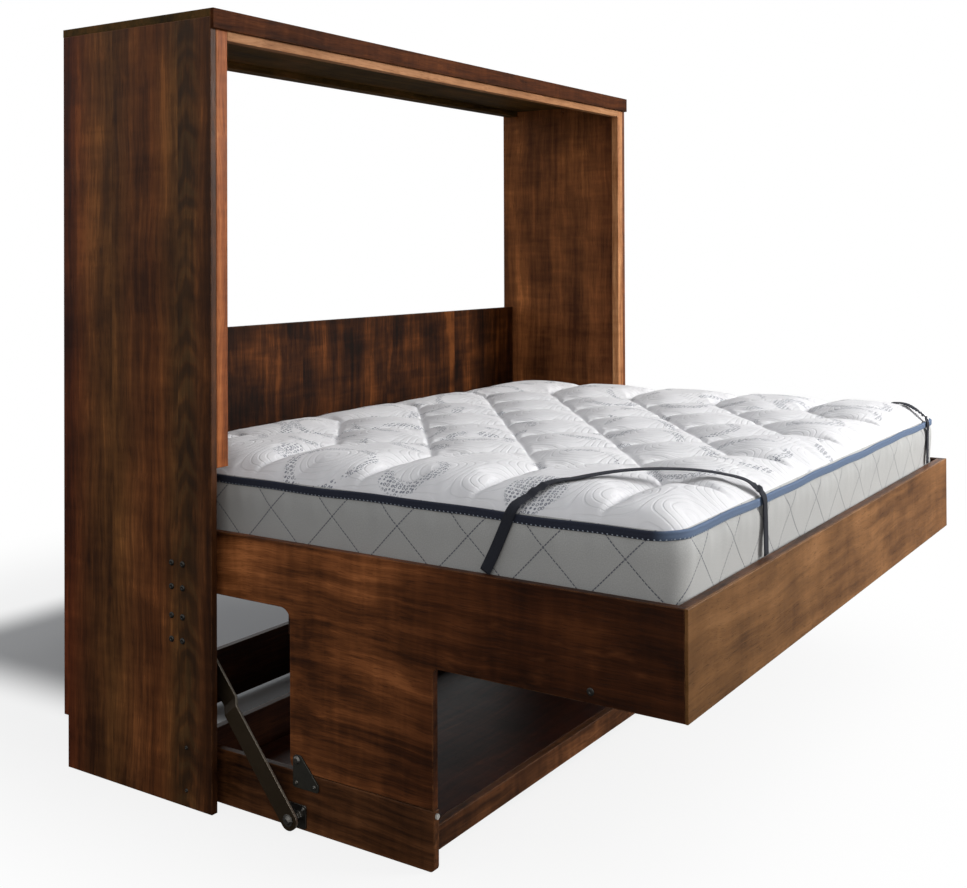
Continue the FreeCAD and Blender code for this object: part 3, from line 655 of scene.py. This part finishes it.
inset = np.maximum(edge_distance(plan_x, plan_y, inner_x, inner_y, corner_r), 0)
# tufts stand at the corners and the middles of a lattice of 400 x 298 mm
lattice_x = index_x + LAST_X
lattice_y = index_y
hull = (np.abs(index_x) <= LAST_X) & (np.abs(index_y) <= LAST_Y)
on_tuft = (lattice_x % TUFT == 0) & (lattice_y % TUFT == 0)
on_tuft |= (lattice_x % TUFT == TUFT // 2) & (lattice_y % TUFT == TUFT // 2)
on_tuft &= hull
# creases join them diagonally, and spokes run from the outer ones to the edge
on_crease = ((lattice_x - lattice_y) % TUFT == 0) | ((lattice_x + lattice_y) % TUFT == 0)
on_crease &= hull
on_spoke = np.zeros_like(on_crease)
for s in (-1, 1):
    for row in np.unique(index_y[on_tuft & (index_x == s * LAST_X)]):
        on_spoke |= (index_y == row) & (index_x * s > LAST_X)
    for column in np.unique(index_x[on_tuft & (index_y == s * LAST_Y)]):
        on_spoke |= (index_x == column) & (index_y * s > LAST_Y)

# distance from the nearest tuft, in metres
tuft_points = np.stack([grid_x[on_tuft], grid_y[on_tuft]], 1)
to_tuft = np.full(grid_x.shape, 9.0)
for tx, ty in tuft_points:
    to_tuft = np.minimum(to_tuft, np.hypot(grid_x - tx, grid_y - ty))

rise = 1 - np.exp(-inset / 0.022)
start_z = seam_z + (crown_z - 0.006 - seam_z) * rise
start_z += 0.004 * np.cos(np.clip(plan_x / MAT_X, -1, 1) * 1.4)
depth = 0.013 + 0.010 * np.exp(-((to_tuft / 0.05) ** 2))
pin_z = start_z - depth
spoke_fade = np.clip(inset / 0.12, 0, 1)
spoke_z = start_z - (0.004 + 0.012 * spoke_fade) * np.clip(inset / 0.02, 0, 1)
start = start_z.copy()
start[on_crease] = pin_z[on_crease]
start[on_spoke] = spoke_z[on_spoke]
start[on_tuft] = (start_z - 0.024)[on_tuft]
pinned = on_crease | on_spoke | on_tuft
pinned |= (np.abs(index_x) == NX) | (np.abs(index_y) == NY)

# the creases bow a little between tufts, as sewn lines do
fade = np.clip(inset / 0.1, 0, 1)
sheet_x = plan_x + 0.010 * np.sin(2 * np.pi * lattice_y / 16.0) * fade
sheet_y = plan_y + 0.006 * np.sin(2 * np.pi * lattice_x / 16.0) * fade
rows, columns = sheet_x.shape
sheet_points = np.stack([sheet_x, sheet_y + mid_y, start], -1)


def grid_faces():
    """The four corners of every square of the sheet's grid."""
    i, j = np.meshgrid(np.arange(rows - 1), np.arange(columns - 1), indexing="ij")
    a = (i * columns + j).ravel()
    return np.stack([a, a + columns, a + columns + 1, a + 1], 1)


SETTLE_FRAMES = 18
MOST_SWELL = 0.022  # metres that a point of the cloth may move
CLOTH = {
    "quality": 5, "mass": 0.25, "tension_stiffness": 14, "compression_stiffness": 14,
    "shear_stiffness": 6, "bending_stiffness": 0.35, "compression_damping": 12,
    "tension_damping": 12, "air_damping": 3, "vertex_group_mass": "stitches", "shrink_min": -0.014,
    "use_pressure": True, "uniform_pressure_force": 2.4,
}


def inflate(points, faces, pins):
    """A sheet held at its stitches is filled from below and settles into padded cells."""
    mesh = bpy.data.meshes.new("filling")
    mesh.from_pydata(points.tolist(), [], faces.tolist())
    cloth_piece = bpy.data.objects.new("filling", mesh)
    COLLECTION.objects.link(cloth_piece)
    group = cloth_piece.vertex_groups.new(name="stitches")
    group.add([int(i) for i in np.flatnonzero(pins)], 1.0, "REPLACE")
    modifier = cloth_piece.modifiers.new("Cloth", "CLOTH")
    settings = modifier.settings
    for key, value in CLOTH.items():
        setattr(settings, key, value)
    settings.effector_weights.gravity = 0
    modifier.collision_settings.use_collision = False
    modifier.collision_settings.use_self_collision = False
    modifier.point_cache.frame_start, modifier.point_cache.frame_end = 1, SETTLE_FRAMES
    scene = bpy.context.scene
    for step in range(1, SETTLE_FRAMES + 1):
        scene.frame_set(step)
    graph = bpy.context.evaluated_depsgraph_get()
    settled = cloth_piece.evaluated_get(graph).to_mesh()
    moved = np.empty(len(points) * 3)
    settled.vertices.foreach_get("co", moved)
    moved = moved.reshape(-1, 3)
    cloth_piece.evaluated_get(graph).to_mesh_clear()
    scene.frame_set(1)
    bpy.data.objects.remove(cloth_piece)
    shift = moved - points
    length = np.linalg.norm(shift, axis=1, keepdims=True)
    shift *= np.minimum(1.0, MOST_SWELL / np.maximum(length, 1e-9))
    return points + shift


sheet_flat = sheet_points.reshape(-1, 3)
sheet_faces = grid_faces()
sheet_flat = inflate(sheet_flat, sheet_faces, pinned.ravel())

# puckers run out from every tuft
sheet_flat = sheet_flat.reshape(rows, columns, 3)
for number, (tx, ty) in enumerate(tuft_points):
    dx, dy = grid_x - tx, grid_y - ty
    reach = np.hypot(dx, dy)
    near = reach < 0.09
    turn = np.arctan2(dy, dx)
    swing = np.cos(turn * 9 + number * 1.7) + 0.6 * np.cos(turn * 14 + number * 0.9)
    fold = 0.0016 * swing * (reach / 0.018) * np.exp(-reach / 0.022)
    sheet_flat[..., 2] += np.where(near & ~pinned, fold, 0.0)

# short folds cross the sewn creases
lay_a, lay_b = lattice_x / TUFT, lattice_y / TUFT
for across, along in ((lay_a - lay_b, lay_a + lay_b), (lay_a + lay_b, lay_a - lay_b)):
    off = np.abs((across + 0.5) % 1.0 - 0.5) * CREASE_GAP
    sweep = along * TUFT_GAP
    phase = 2 * np.pi * sweep / 0.033 + 2.0 * np.sin(across * 9.0)
    fold = np.sin(phase + 0.9 * np.sin(sweep * 31.0))
    swell = 0.5 + 0.5 * np.sin(sweep * 17.0 + across * 5.0)
    fold *= 0.0021 * swell * (off / 0.012) * np.exp(-off / 0.016)
    sheet_flat[..., 2] += np.where(hull, fold, 0.0)


def outline(inset_by, lift):
    """The mattress's rounded outline, drawn in by a distance: grid places and points."""
    order = [(i, 0) for i in range(rows - 1)]
    order += [(rows - 1, j) for j in range(columns - 1)]
    order += [(i, columns - 1) for i in range(rows - 1, 0, -1)]
    order += [(0, j) for j in range(columns - 1, 0, -1)]
    out = SEW_IN - inset_by
    points = []
    for i, j in order:
        x, y = plan_x[i, j], plan_y[i, j]
        if abs(x) < inner_x - corner_r:
            normal = Vector((0, math.copysign(1, y)))
        elif abs(y) < inner_y - corner_r:
            normal = Vector((math.copysign(1, x), 0))
        else:
            cx = math.copysign(inner_x - corner_r, x)
            cy = math.copysign(inner_y - corner_r, y)
            normal = Vector((x - cx, y - cy))
        normal.normalize()
        points.append((x + normal.x * out, y + normal.y * out + mid_y, lift))
    return order, points


order, seam_ring = outline(SEW_IN, seam_z)
count = len(order)
# how far round the seam each of its points lies
run = np.zeros(count + 1)
for k in range(count):
    a, b = seam_ring[k], seam_ring[(k + 1) % count]
    run[k + 1] = run[k] + math.hypot(b[0] - a[0], b[1] - a[1])
perimeter = run[-1]

# how far the border is drawn in, from the seam down to the deck
border_levels = [
    (0.0045, seam_z - 0.004), (0.0035, seam_z - 0.016), (0.0020, seam_z - 0.020),
    (0.0000, seam_z - 0.030), (-0.0010, seam_z - 0.045), (0.0006, seam_z - 0.065),
    (0.0030, seam_z - 0.090), (0.0050, seam_z - 0.120), (0.0045, seam_z - 0.150),
    (0.0025, seam_z - 0.180), (0.0008, deck_z + 0.030), (0.0010, deck_z + 0.014),
    (0.0040, deck_z + 0.005), (0.0100, deck_z + 0.0006),
]
vertices = [tuple(p) for p in sheet_flat.reshape(-1, 3)]
faces = [tuple(int(v) for v in f) for f in sheet_faces]
uvs = [[(vertices[v][0], vertices[v][1]) for v in f] for f in faces]
marks = [0] * len(faces)
previous, previous_z = [i * columns + j for i, j in order], seam_z
for inset_by, lift in border_levels:
    points = outline(inset_by, lift)[1]
    first = len(vertices)
    for k, (x, y, z) in enumerate(points):
        s = run[k]
        gather = 0.0011 * math.sin(s * 61.0) + 0.0008 * math.sin(s * 143.0 + 1.3)
        gather *= math.exp(-(((lift - seam_z + 0.03) / 0.035) ** 2))
        slack = 0.0018 * math.sin(s * 7.3 + 0.6) + 0.0012 * math.sin(s * 17.1)
        slack *= math.sin(math.pi * min(1.0, max(0.0, (seam_z - lift) / 0.21)))
        out = Vector((x - points[k - 1][0], y - points[k - 1][1], 0))
        side = Vector((out.y, -out.x, 0))
        if side.length > 1e-9:
            side.normalize()
        vertices.append((x + side.x * (gather + slack), y + side.y * (gather + slack), z))
    ring = list(range(first, first + count))
    for k in range(count):
        n = (k + 1) % count
        here, there = run[k], run[k + 1]
        faces.append((previous[k], ring[k], ring[n], previous[n]))
        uvs.append([(here, previous_z), (here, lift), (there, lift), (there, previous_z)])
        marks.append(1)
    previous, previous_z = ring, lift
# the underside is a plain sheet on the same grid, joined to the last ring
under = np.full((rows, columns), -1)
for (i, j), index in zip(order, previous):
    under[i, j] = index
shrink = 1 - 0.006 / half_y
for i in range(1, rows - 1):
    for j in range(1, columns - 1):
        under[i, j] = len(vertices)
        vertices.append((plan_x[i, j] * shrink, plan_y[i, j] * shrink + mid_y, deck_z + 0.0006))
for face in sheet_faces:
    i, j = divmod(face, columns)
    quad = [int(v) for v in under[i, j]][::-1]
    faces.append(tuple(quad))
    uvs.append([(vertices[v][0], vertices[v][1]) for v in quad])
    marks.append(1)


def ticking():
    """White knitted top cloth: printed rings in bands, echo stitching and a fine loop."""
    g = Look("ticking_top")
    place = g.place()
    parts = g.split(place)
    # the echo stitching follows the lattice of tufts
    a = g.times(g.math("ADD", parts[0], LAST_X * STEP_X), 2 * math.pi / PITCH_X)
    b = g.times(g.minus(parts[1], mid_y), 2 * math.pi / PITCH_Y)
    cell = g.times(g.math("COSINE", a), g.math("COSINE", b))
    wander = g.noise(place, scale=7.0, detail=2.0)
    echo = g.fused(wander, 0.35, cell)
    lines = g.math("SINE", g.times(echo, 26.0))
    lines = g.span(lines, -1.0, -0.55, 0.0, 1.0)
    # print: small rings, shown only inside loose arcs
    flat = g.join(parts[0], parts[1], 0.0)
    rings = g.add("TexVoronoi", {"Vector": flat, "Scale": 105.0, "Randomness": 0.35})
    ring = g.apart(rings.outputs["Distance"], 0.30)
    ring = g.span(ring, 0.05, 0.14, 1.0, 0.0)
    arcs = g.add("TexVoronoi", {"Vector": flat, "Scale": 4.2, "Randomness": 0.55})
    arc = g.apart(arcs.outputs["Distance"], 0.42)
    gaps = g.noise(flat, scale=8.5, detail=1.0)
    arc = g.math("ADD", arc, g.span(gaps, 0.34, 0.50, 0.10, 0.0))
    arc = g.span(arc, 0.035, 0.062, 1.0, 0.0)
    printed = g.times(ring, arc)
    shade = g.noise(place, scale=3.0, detail=2.0)
    cloth = g.mix(shade, srgb(226, 226, 230), srgb(240, 240, 242))
    # painted shade: the sunk stitch lines are tinted darker
    sunk_shade = g.times(g.minus(1.0, lines), 0.05)
    cloth = g.mix(sunk_shade, cloth, srgb(178, 178, 190))
    colour = g.mix(g.times(printed, 0.85), cloth, srgb(92, 99, 116))
    loop = g.add("TexVoronoi", {"Vector": flat, "Scale": 620.0, "Randomness": 0.3})
    knit = loop.outputs["Distance"]
    height = g.fused(lines, 0.5, g.times(knit, 0.16))
    height = g.fused(printed, -0.12, height)
    normal = g.bump(height, 0.0022, 0.8)
    return g.finish(
        Base_Color=colour,
        Roughness=0.85,
        Specular_IOR_Level=0.2,
        Sheen_Weight=0.15,
        Sheen_Roughness=0.5,
        Normal=normal,
    )


BORDER_PITCH = 0.179  # metres between the lattice's lines, along the border
BORDER_CROSSING = 0.708  # height at which two of them cross
THREAD = 0.0016  # pitch of a weave or rib


def border_cloth():
    """Pale grey border cloth with a dashed lattice stitched into it."""
    g = Look("ticking_border")
    uv = g.add("UVMap", uv_map="run").outputs[0]
    parts = g.split(uv)
    pitch = perimeter / round(perimeter / BORDER_PITCH)
    climb = g.minus(parts[1], BORDER_CROSSING)
    falling = g.math("DIVIDE", g.math("ADD", parts[0], climb), pitch)
    rising = g.math("DIVIDE", g.minus(parts[0], climb), pitch)

    def line(value, other):
        near = g.apart(g.math("FRACT", value), 0.5)
        near = g.span(near, 0.0065, 0.0125, 1.0, 0.0)
        dash = g.math("FRACT", g.times(other, 15.0))
        dash = g.span(g.apart(dash, 0.5), 0.30, 0.42, 1.0, 0.0)
        return near, dash

    line_a, dash_a = line(falling, rising)
    line_b, dash_b = line(rising, falling)
    dashed_a, dashed_b = g.times(line_a, dash_a), g.times(line_b, dash_b)
    lattice = g.math("MAXIMUM", dashed_a, dashed_b)
    groove = g.math("MAXIMUM", line_a, line_b)
    weave_x = g.math("SINE", g.times(parts[0], 2 * math.pi / THREAD))
    weave_z = g.math("SINE", g.times(parts[1], 2 * math.pi / THREAD))
    weave = g.times(weave_x, weave_z)
    fleck = g.noise(g.join(parts[0], parts[1], 0.0), scale=420.0, detail=2.0)
    patch = g.noise(g.join(parts[0], parts[1], 0.0), scale=9.0, detail=3.0)
    cloth = g.mix(fleck, srgb(156, 158, 156), srgb(212, 212, 211))
    cloth = g.mix(g.times(patch, 0.35), cloth, srgb(154, 155, 157))
    colour = g.mix(g.times(lattice, 0.85), cloth, srgb(78, 82, 98))
    height = g.fused(groove, -1.0, g.times(weave, 0.06))
    normal = g.bump(height, 0.0016, 0.8)
    return g.finish(
        Base_Color=colour,
        Roughness=0.8,
        Specular_IOR_Level=0.25,
        Sheen_Weight=0.2,
        Sheen_Roughness=0.45,
        Normal=normal,
    )


ticking_top, ticking_border = ticking(), border_cloth()
mattress = new_piece(
    "mattress_body", vertices, faces, [ticking_top, ticking_border], None
)
mattress.data.polygons.foreach_set("material_index", marks)
lay_uv(mattress, uvs)
refine = mattress.modifiers.new("refine", "SUBSURF")
refine.levels = refine.render_levels = 1
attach(mattress, "bed")
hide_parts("mattress")


TAPE_MIDDLE = 0.0075  # where the tape's dots lie, across its section
DOT_PITCH = 0.0105


def webbing(name, base, foot_sheen=None):
    """Ribbed webbing; one with a second colour has a row of pale dots, as the tape has, and that
    colour on its foot end, a painted sheen where the light falls.
    """
    g = Look(name)
    uv = g.add("UVMap", uv_map="run").outputs[0]
    parts = g.split(uv)
    rib = g.math("SINE", g.times(parts[0], 2 * math.pi / THREAD))
    cord = g.math("SINE", g.times(parts[1], 2 * math.pi / 0.0021))
    fuzz = g.noise(g.place(), scale=260.0, detail=3.0)
    colour = g.mix(g.span(rib, -1, 1, 0.15, 0.75), tuple(c * 0.45 for c in base), base)
    colour = g.mix(g.times(fuzz, 0.35), colour, tuple(min(1, c * 2.4) for c in base))
    if foot_sheen:
        dots = g.math("FRACT", g.math("DIVIDE", parts[0], DOT_PITCH))
        dots = g.apart(dots, 0.5)
        row = g.apart(parts[1], TAPE_MIDDLE)
        near = g.math("ADD", g.times(dots, DOT_PITCH), row)
        dot = g.span(near, 0.0014, 0.0026, 1.0, 0.0)
        # the foot end is painted paler, a painted sheen where the light falls on it
        pale = g.span(g.split(g.place())[1], MAT_FRONT + 0.02, MAT_FRONT + 0.06, 0.42, 0.0)
        colour = g.mix(pale, colour, foot_sheen)
        colour = g.mix(dot, colour, srgb(206, 218, 234))
    height = g.fused(cord, 0.5, rib)
    normal = g.bump(height, 0.0003, 0.7)
    return g.finish(Base_Color=colour, Roughness=0.8, Specular_IOR_Level=0.2, Normal=normal)


# the tape's second colour is a painted sheen on its foot end
tape_cloth = webbing("tape_cloth", srgb(44, 48, 62), srgb(150, 176, 214))
strap_cloth = webbing("strap_cloth", srgb(40, 42, 50))

# taped edge: a padded band with a bead along its upper side, as inset and lift
band_section = [
    (0.0040, -0.0165), (0.0012, -0.0172), (-0.0016, -0.0160), (-0.0030, -0.0120),
    (-0.0032, -0.0085), (-0.0028, -0.0050), (-0.0036, -0.0028), (-0.0034, 0.0004),
    (-0.0010, 0.0024), (0.0028, 0.0022), (0.0058, -0.0010),
]
band_rings = []
for inset_by, lift in band_section:
    ring = []
    for s, (x, y, z) in zip(run, outline(inset_by, seam_z + lift)[1]):
        wave = 0.0013 * math.sin(s * 9.1) + 0.0009 * math.sin(s * 23.0 + 2.0)
        ring.append((x, y, z + wave))
    band_rings.append(ring)
tape_vertices, tape_faces = rings_mesh(band_rings, closed=False)
tape = new_piece("mattress_tape", tape_vertices, tape_faces, [tape_cloth], "bed")
widths = np.cumsum([0] + [math.dist(a, b) for a, b in zip(band_section, band_section[1:])])
tape_uvs = []
for face in tape_faces:
    row, k = divmod(face[0], count)
    (here, there), (near, far) = run[k : k + 2], widths[row : row + 2]
    tape_uvs.append([(here, near), (there, near), (there, far), (here, far)])
lay_uv(tape, tape_uvs)
skin = tape.modifiers.new("thickness", "SOLIDIFY")
skin.thickness, skin.offset = 0.0012, -1
soften = tape.modifiers.new("soften", "SUBSURF")
soften.levels = soften.render_levels = 1


# ---------------- straps
STRAP_WIDTH, STRAP_THICK = 0.025, 0.0022
STRAP_STEPS = 10


def smooth_path(points):
    """A Catmull-Rom line through the points."""
    points = [Vector(p) for p in points]
    points = [2 * points[0] - points[1], *points, 2 * points[-1] - points[-2]]
    line = []
    for i in range(1, len(points) - 2):
        p0, p1, p2, p3 = points[i - 1 : i + 3]
        for k in range(STRAP_STEPS):
            t = k / STRAP_STEPS
            line.append(
                0.5
                * (
                    2 * p1
                    + (p2 - p0) * t
                    + (2 * p0 - 5 * p1 + 4 * p2 - p3) * t * t
                    + (3 * p1 - p0 - 3 * p2 + p3) * t**3
                )
            )
    return [*line, points[-2]]


def strap(name, replaced, route):
    """An elastic band along a route of places, each with the way that it faces there.

    It is lifted onto the quilting where it would sink in.
    """
    line = smooth_path([place for place, _ in route])
    ways = smooth_path([way for _, way in route])
    for point in line:
        near = np.hypot(sheet_flat[..., 0] - point.x, sheet_flat[..., 1] - point.y) < 0.020
        if near.any() and point.z > seam_z + 0.01:
            point.z = max(point.z, float(sheet_flat[..., 2][near].max()) + 0.0025)
    half_w, half_t = STRAP_WIDTH / 2, STRAP_THICK / 2
    section = [
        (-half_w, -half_t * 0.4), (-half_w * 0.94, -half_t), (half_w * 0.94, -half_t),
        (half_w, -half_t * 0.4), (half_w, half_t * 0.4), (half_w * 0.94, half_t),
        (half_w * 0.4, half_t * 1.15), (-half_w * 0.4, half_t * 1.15), (-half_w * 0.94, half_t),
        (-half_w, half_t * 0.4),
    ]
    rings, distance = [], [0.0]
    for k, point in enumerate(line):
        ahead = line[min(k + 1, len(line) - 1)] - line[max(k - 1, 0)]
        ahead.normalize()
        out = ways[k] - ahead * ways[k].dot(ahead)
        out.normalize()
        aside = ahead.cross(out)
        rings.append([tuple(point + aside * a + out * b) for a, b in section])
        if k:
            distance.append(distance[-1] + (point - line[k - 1]).length)
    vertices, faces = rings_mesh(rings)
    piece = new_piece(name, vertices, faces, [strap_cloth], "bed")
    # the last two faces are the ends, which stay unmapped
    strap_uvs = []
    for face in faces[:-2]:
        row, k = divmod(face[0], len(section))
        here, there = distance[row : row + 2]
        a, b = k * STRAP_WIDTH / 4, (k + 1) * STRAP_WIDTH / 4
        strap_uvs.append([(here, a), (here, b), (there, b), (there, a)])
    lay_uv(piece, strap_uvs)
    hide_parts(replaced)


rail_top = face_of("side_board_left", 2, True)
side, foot = -MAT_X, MAT_FRONT + TAPE_PROUD
strap(
    "corner_band_near",
    "corner_strap_left",
    [
        ((side - 0.0055, -0.380, rail_top + 0.004), (-1, 0, 0)),
        ((side - 0.0060, -0.405, 0.690), (-1, 0, 0)),
        ((side - 0.0062, -0.432, 0.748), (-1, 0, 0.1)),
        ((side - 0.0050, -0.444, 0.776), (-0.9, 0, 0.6)),
        ((side + 0.016, -0.452, 0.792), (-0.4, 0, 1)),
        ((side + 0.080, -0.480, 0.812), (-0.1, 0, 1)),
        ((-0.880, -0.525, 0.829), (0, 0, 1)),
        ((-0.780, -0.600, 0.838), (0, 0, 1)),
        ((-0.680, -0.690, 0.832), (0, -0.05, 1)),
        ((-0.606, -0.762, 0.812), (0, -0.2, 1)),
        ((-0.578, foot + 0.010, 0.790), (0, -0.7, 0.7)),
        ((-0.570, foot - 0.0062, 0.770), (0, -1, 0.2)),
        ((-0.563, foot - 0.0068, 0.735), (0, -1, 0)),
        ((-0.556, foot - 0.0060, rail_top + 0.004), (0, -1, 0)),
    ],
)
strap(
    "corner_band_far",
    "corner_strap_right",
    [
        ((-side + 0.0058, -0.668, rail_top + 0.004), (1, 0, 0)),
        ((-side + 0.0062, -0.668, 0.745), (1, 0, 0.1)),
        ((-side + 0.0050, -0.668, 0.775), (0.9, 0, 0.6)),
        ((-side - 0.020, -0.672, 0.790), (0.3, 0, 1)),
        ((-side - 0.070, -0.705, 0.803), (0, 0, 1)),
        ((-side - 0.110, -0.752, 0.803), (0, -0.2, 1)),
        ((-side - 0.126, foot + 0.012, 0.788), (0, -0.7, 0.7)),
        ((-side - 0.130, foot - 0.0062, 0.768), (0, -1, 0.2)),
        ((-side - 0.132, foot - 0.0068, 0.735), (0, -1, 0)),
        ((-side - 0.134, foot - 0.0060, rail_top + 0.004), (0, -1, 0)),
    ],
)


# ---------------- floor, light, camera
FLOOR = 40.0
floor_mesh = bpy.data.meshes.new("floor")
corners = [(-FLOOR, -FLOOR, 0), (FLOOR, -FLOOR, 0), (FLOOR, FLOOR, 0), (-FLOOR, FLOOR, 0)]
floor_mesh.from_pydata(corners, [], [(0, 1, 2, 3)])
floor = bpy.data.objects.new("floor", floor_mesh)
COLLECTION.objects.link(floor)
g = Look("studio_floor")
speck = g.noise(g.place(), scale=0.8, detail=2.0)
rays = g.add("LightPath").outputs
pale = g.mix(speck, (0.80, 0.80, 0.80), (0.84, 0.84, 0.84))
g.finish(
    Base_Color=g.mix(rays["Is Camera Ray"], (0.22, 0.21, 0.20), pale),
    Roughness=0.9,
    Specular_IOR_Level=0.0,
)
glow = g.add("Emission", {0: (1.0, 1.0, 1.0), 1: 1.0}).outputs[0]
parts = g.split(g.place())
# the glow fades out under and close behind the object, where its shadow lies: there is
# none over a rectangle of 1.2 x 1.8 m, and it grows with the distance from that
beyond = []
for part, middle, half in ((parts[0], 0.0, 0.60), (parts[1], 0.95, 0.9)):
    off = g.apart(part, middle)
    beyond.append(g.math("POWER", g.math("MAXIMUM", g.minus(off, half), 0.0), 2.0))
away = g.math("SQRT", g.math("ADD", *beyond))
near = g.span(away, 0.0, 0.30, 0.0, 0.84)
share = g.math("ADD", near, g.span(away, 0.3, 1.3, 0.0, 0.16))
seen = g.times(rays["Is Camera Ray"], share)
blend = g.add("MixShader", {0: seen, 1: g.shader.outputs[0], 2: glow}).outputs[0]
g.put(g.output.inputs[0], blend)
floor_mesh.materials.append(g.material)

world = bpy.data.worlds.new("studio")
bpy.context.scene.world = world
g = Graph(world)
rays = g.add("LightPath").outputs
dim = g.add("Background", {0: (0.93, 0.96, 1.0), 1: 0.30}).outputs[0]
white = g.add("Background", {0: (1.0, 1.0, 1.0), 1: 1.0}).outputs[0]
# the camera, metal and glass see plain white
shiny = g.math("MAXIMUM", rays["Is Glossy Ray"], rays["Is Transmission Ray"])
seen = g.math("MAXIMUM", rays["Is Camera Ray"], shiny)
g.add("OutputWorld", {0: g.add("MixShader", {0: seen, 1: dim, 2: white}).outputs[0]})


def lamp(name, place, target, size, power, colour=(1, 1, 1)):
    """A rectangular lamp: place, target and size in metres, power in watts."""
    data = bpy.data.lights.new(name, "AREA")
    data.shape, data.size, data.size_y = "RECTANGLE", size[0], size[1]
    data.energy, data.color = power, colour
    light = bpy.data.objects.new(name, data)
    COLLECTION.objects.link(light)
    light.location = place
    light.rotation_euler = (Vector(target) - Vector(place)).to_track_quat("-Z", "Y").to_euler()


lamp("key", (3.0, -4.9, 2.7), (0.4, -0.4, 0.7), (2.2, 1.8), 365, (1.0, 0.985, 0.96))
lamp("fill", (-4.6, -2.2, 2.4), (-0.6, 0.1, 0.8), (2.4, 2.4), 46, (1.0, 0.97, 0.93))
lamp("top", (0.0, -1.2, 4.4), (0.0, -0.2, 0.8), (2.6, 1.8), 26)

# the camera fitted to the photograph; the turn is yaw, pitch and roll in degrees
CAMERA_PLACE = (-3.2463, -1.7574, 1.2955)
CAMERA_TURN = (55.221, -0.361, -0.183)
camera_data = bpy.data.cameras.new("camera")
camera = bpy.data.objects.new("camera", camera_data)
COLLECTION.objects.link(camera)
yaw, pitch, roll = (math.radians(angle) for angle in CAMERA_TURN)
flat = math.cos(pitch)
ahead = Vector((math.sin(yaw) * flat, math.cos(yaw) * flat, -math.sin(pitch)))
level = Vector((math.cos(yaw), -math.sin(yaw), 0))
upward = level.cross(ahead)
right = level * math.cos(roll) + upward * math.sin(roll)
above = upward * math.cos(roll) - level * math.sin(roll)
turn = Matrix((right, above, -ahead)).transposed().to_4x4()
camera.matrix_world = Matrix.Translation(CAMERA_PLACE) @ turn
camera_data.sensor_fit = "HORIZONTAL"
camera_data.sensor_width = 36.0
camera_data.lens = 47.47
camera_data.shift_x, camera_data.shift_y = 0.0693, -0.2061
camera_data.clip_end = 200
bpy.context.scene.camera = camera
bpy.context.scene.view_settings.view_transform = "Standard"

bpy.context.view_layer.update()
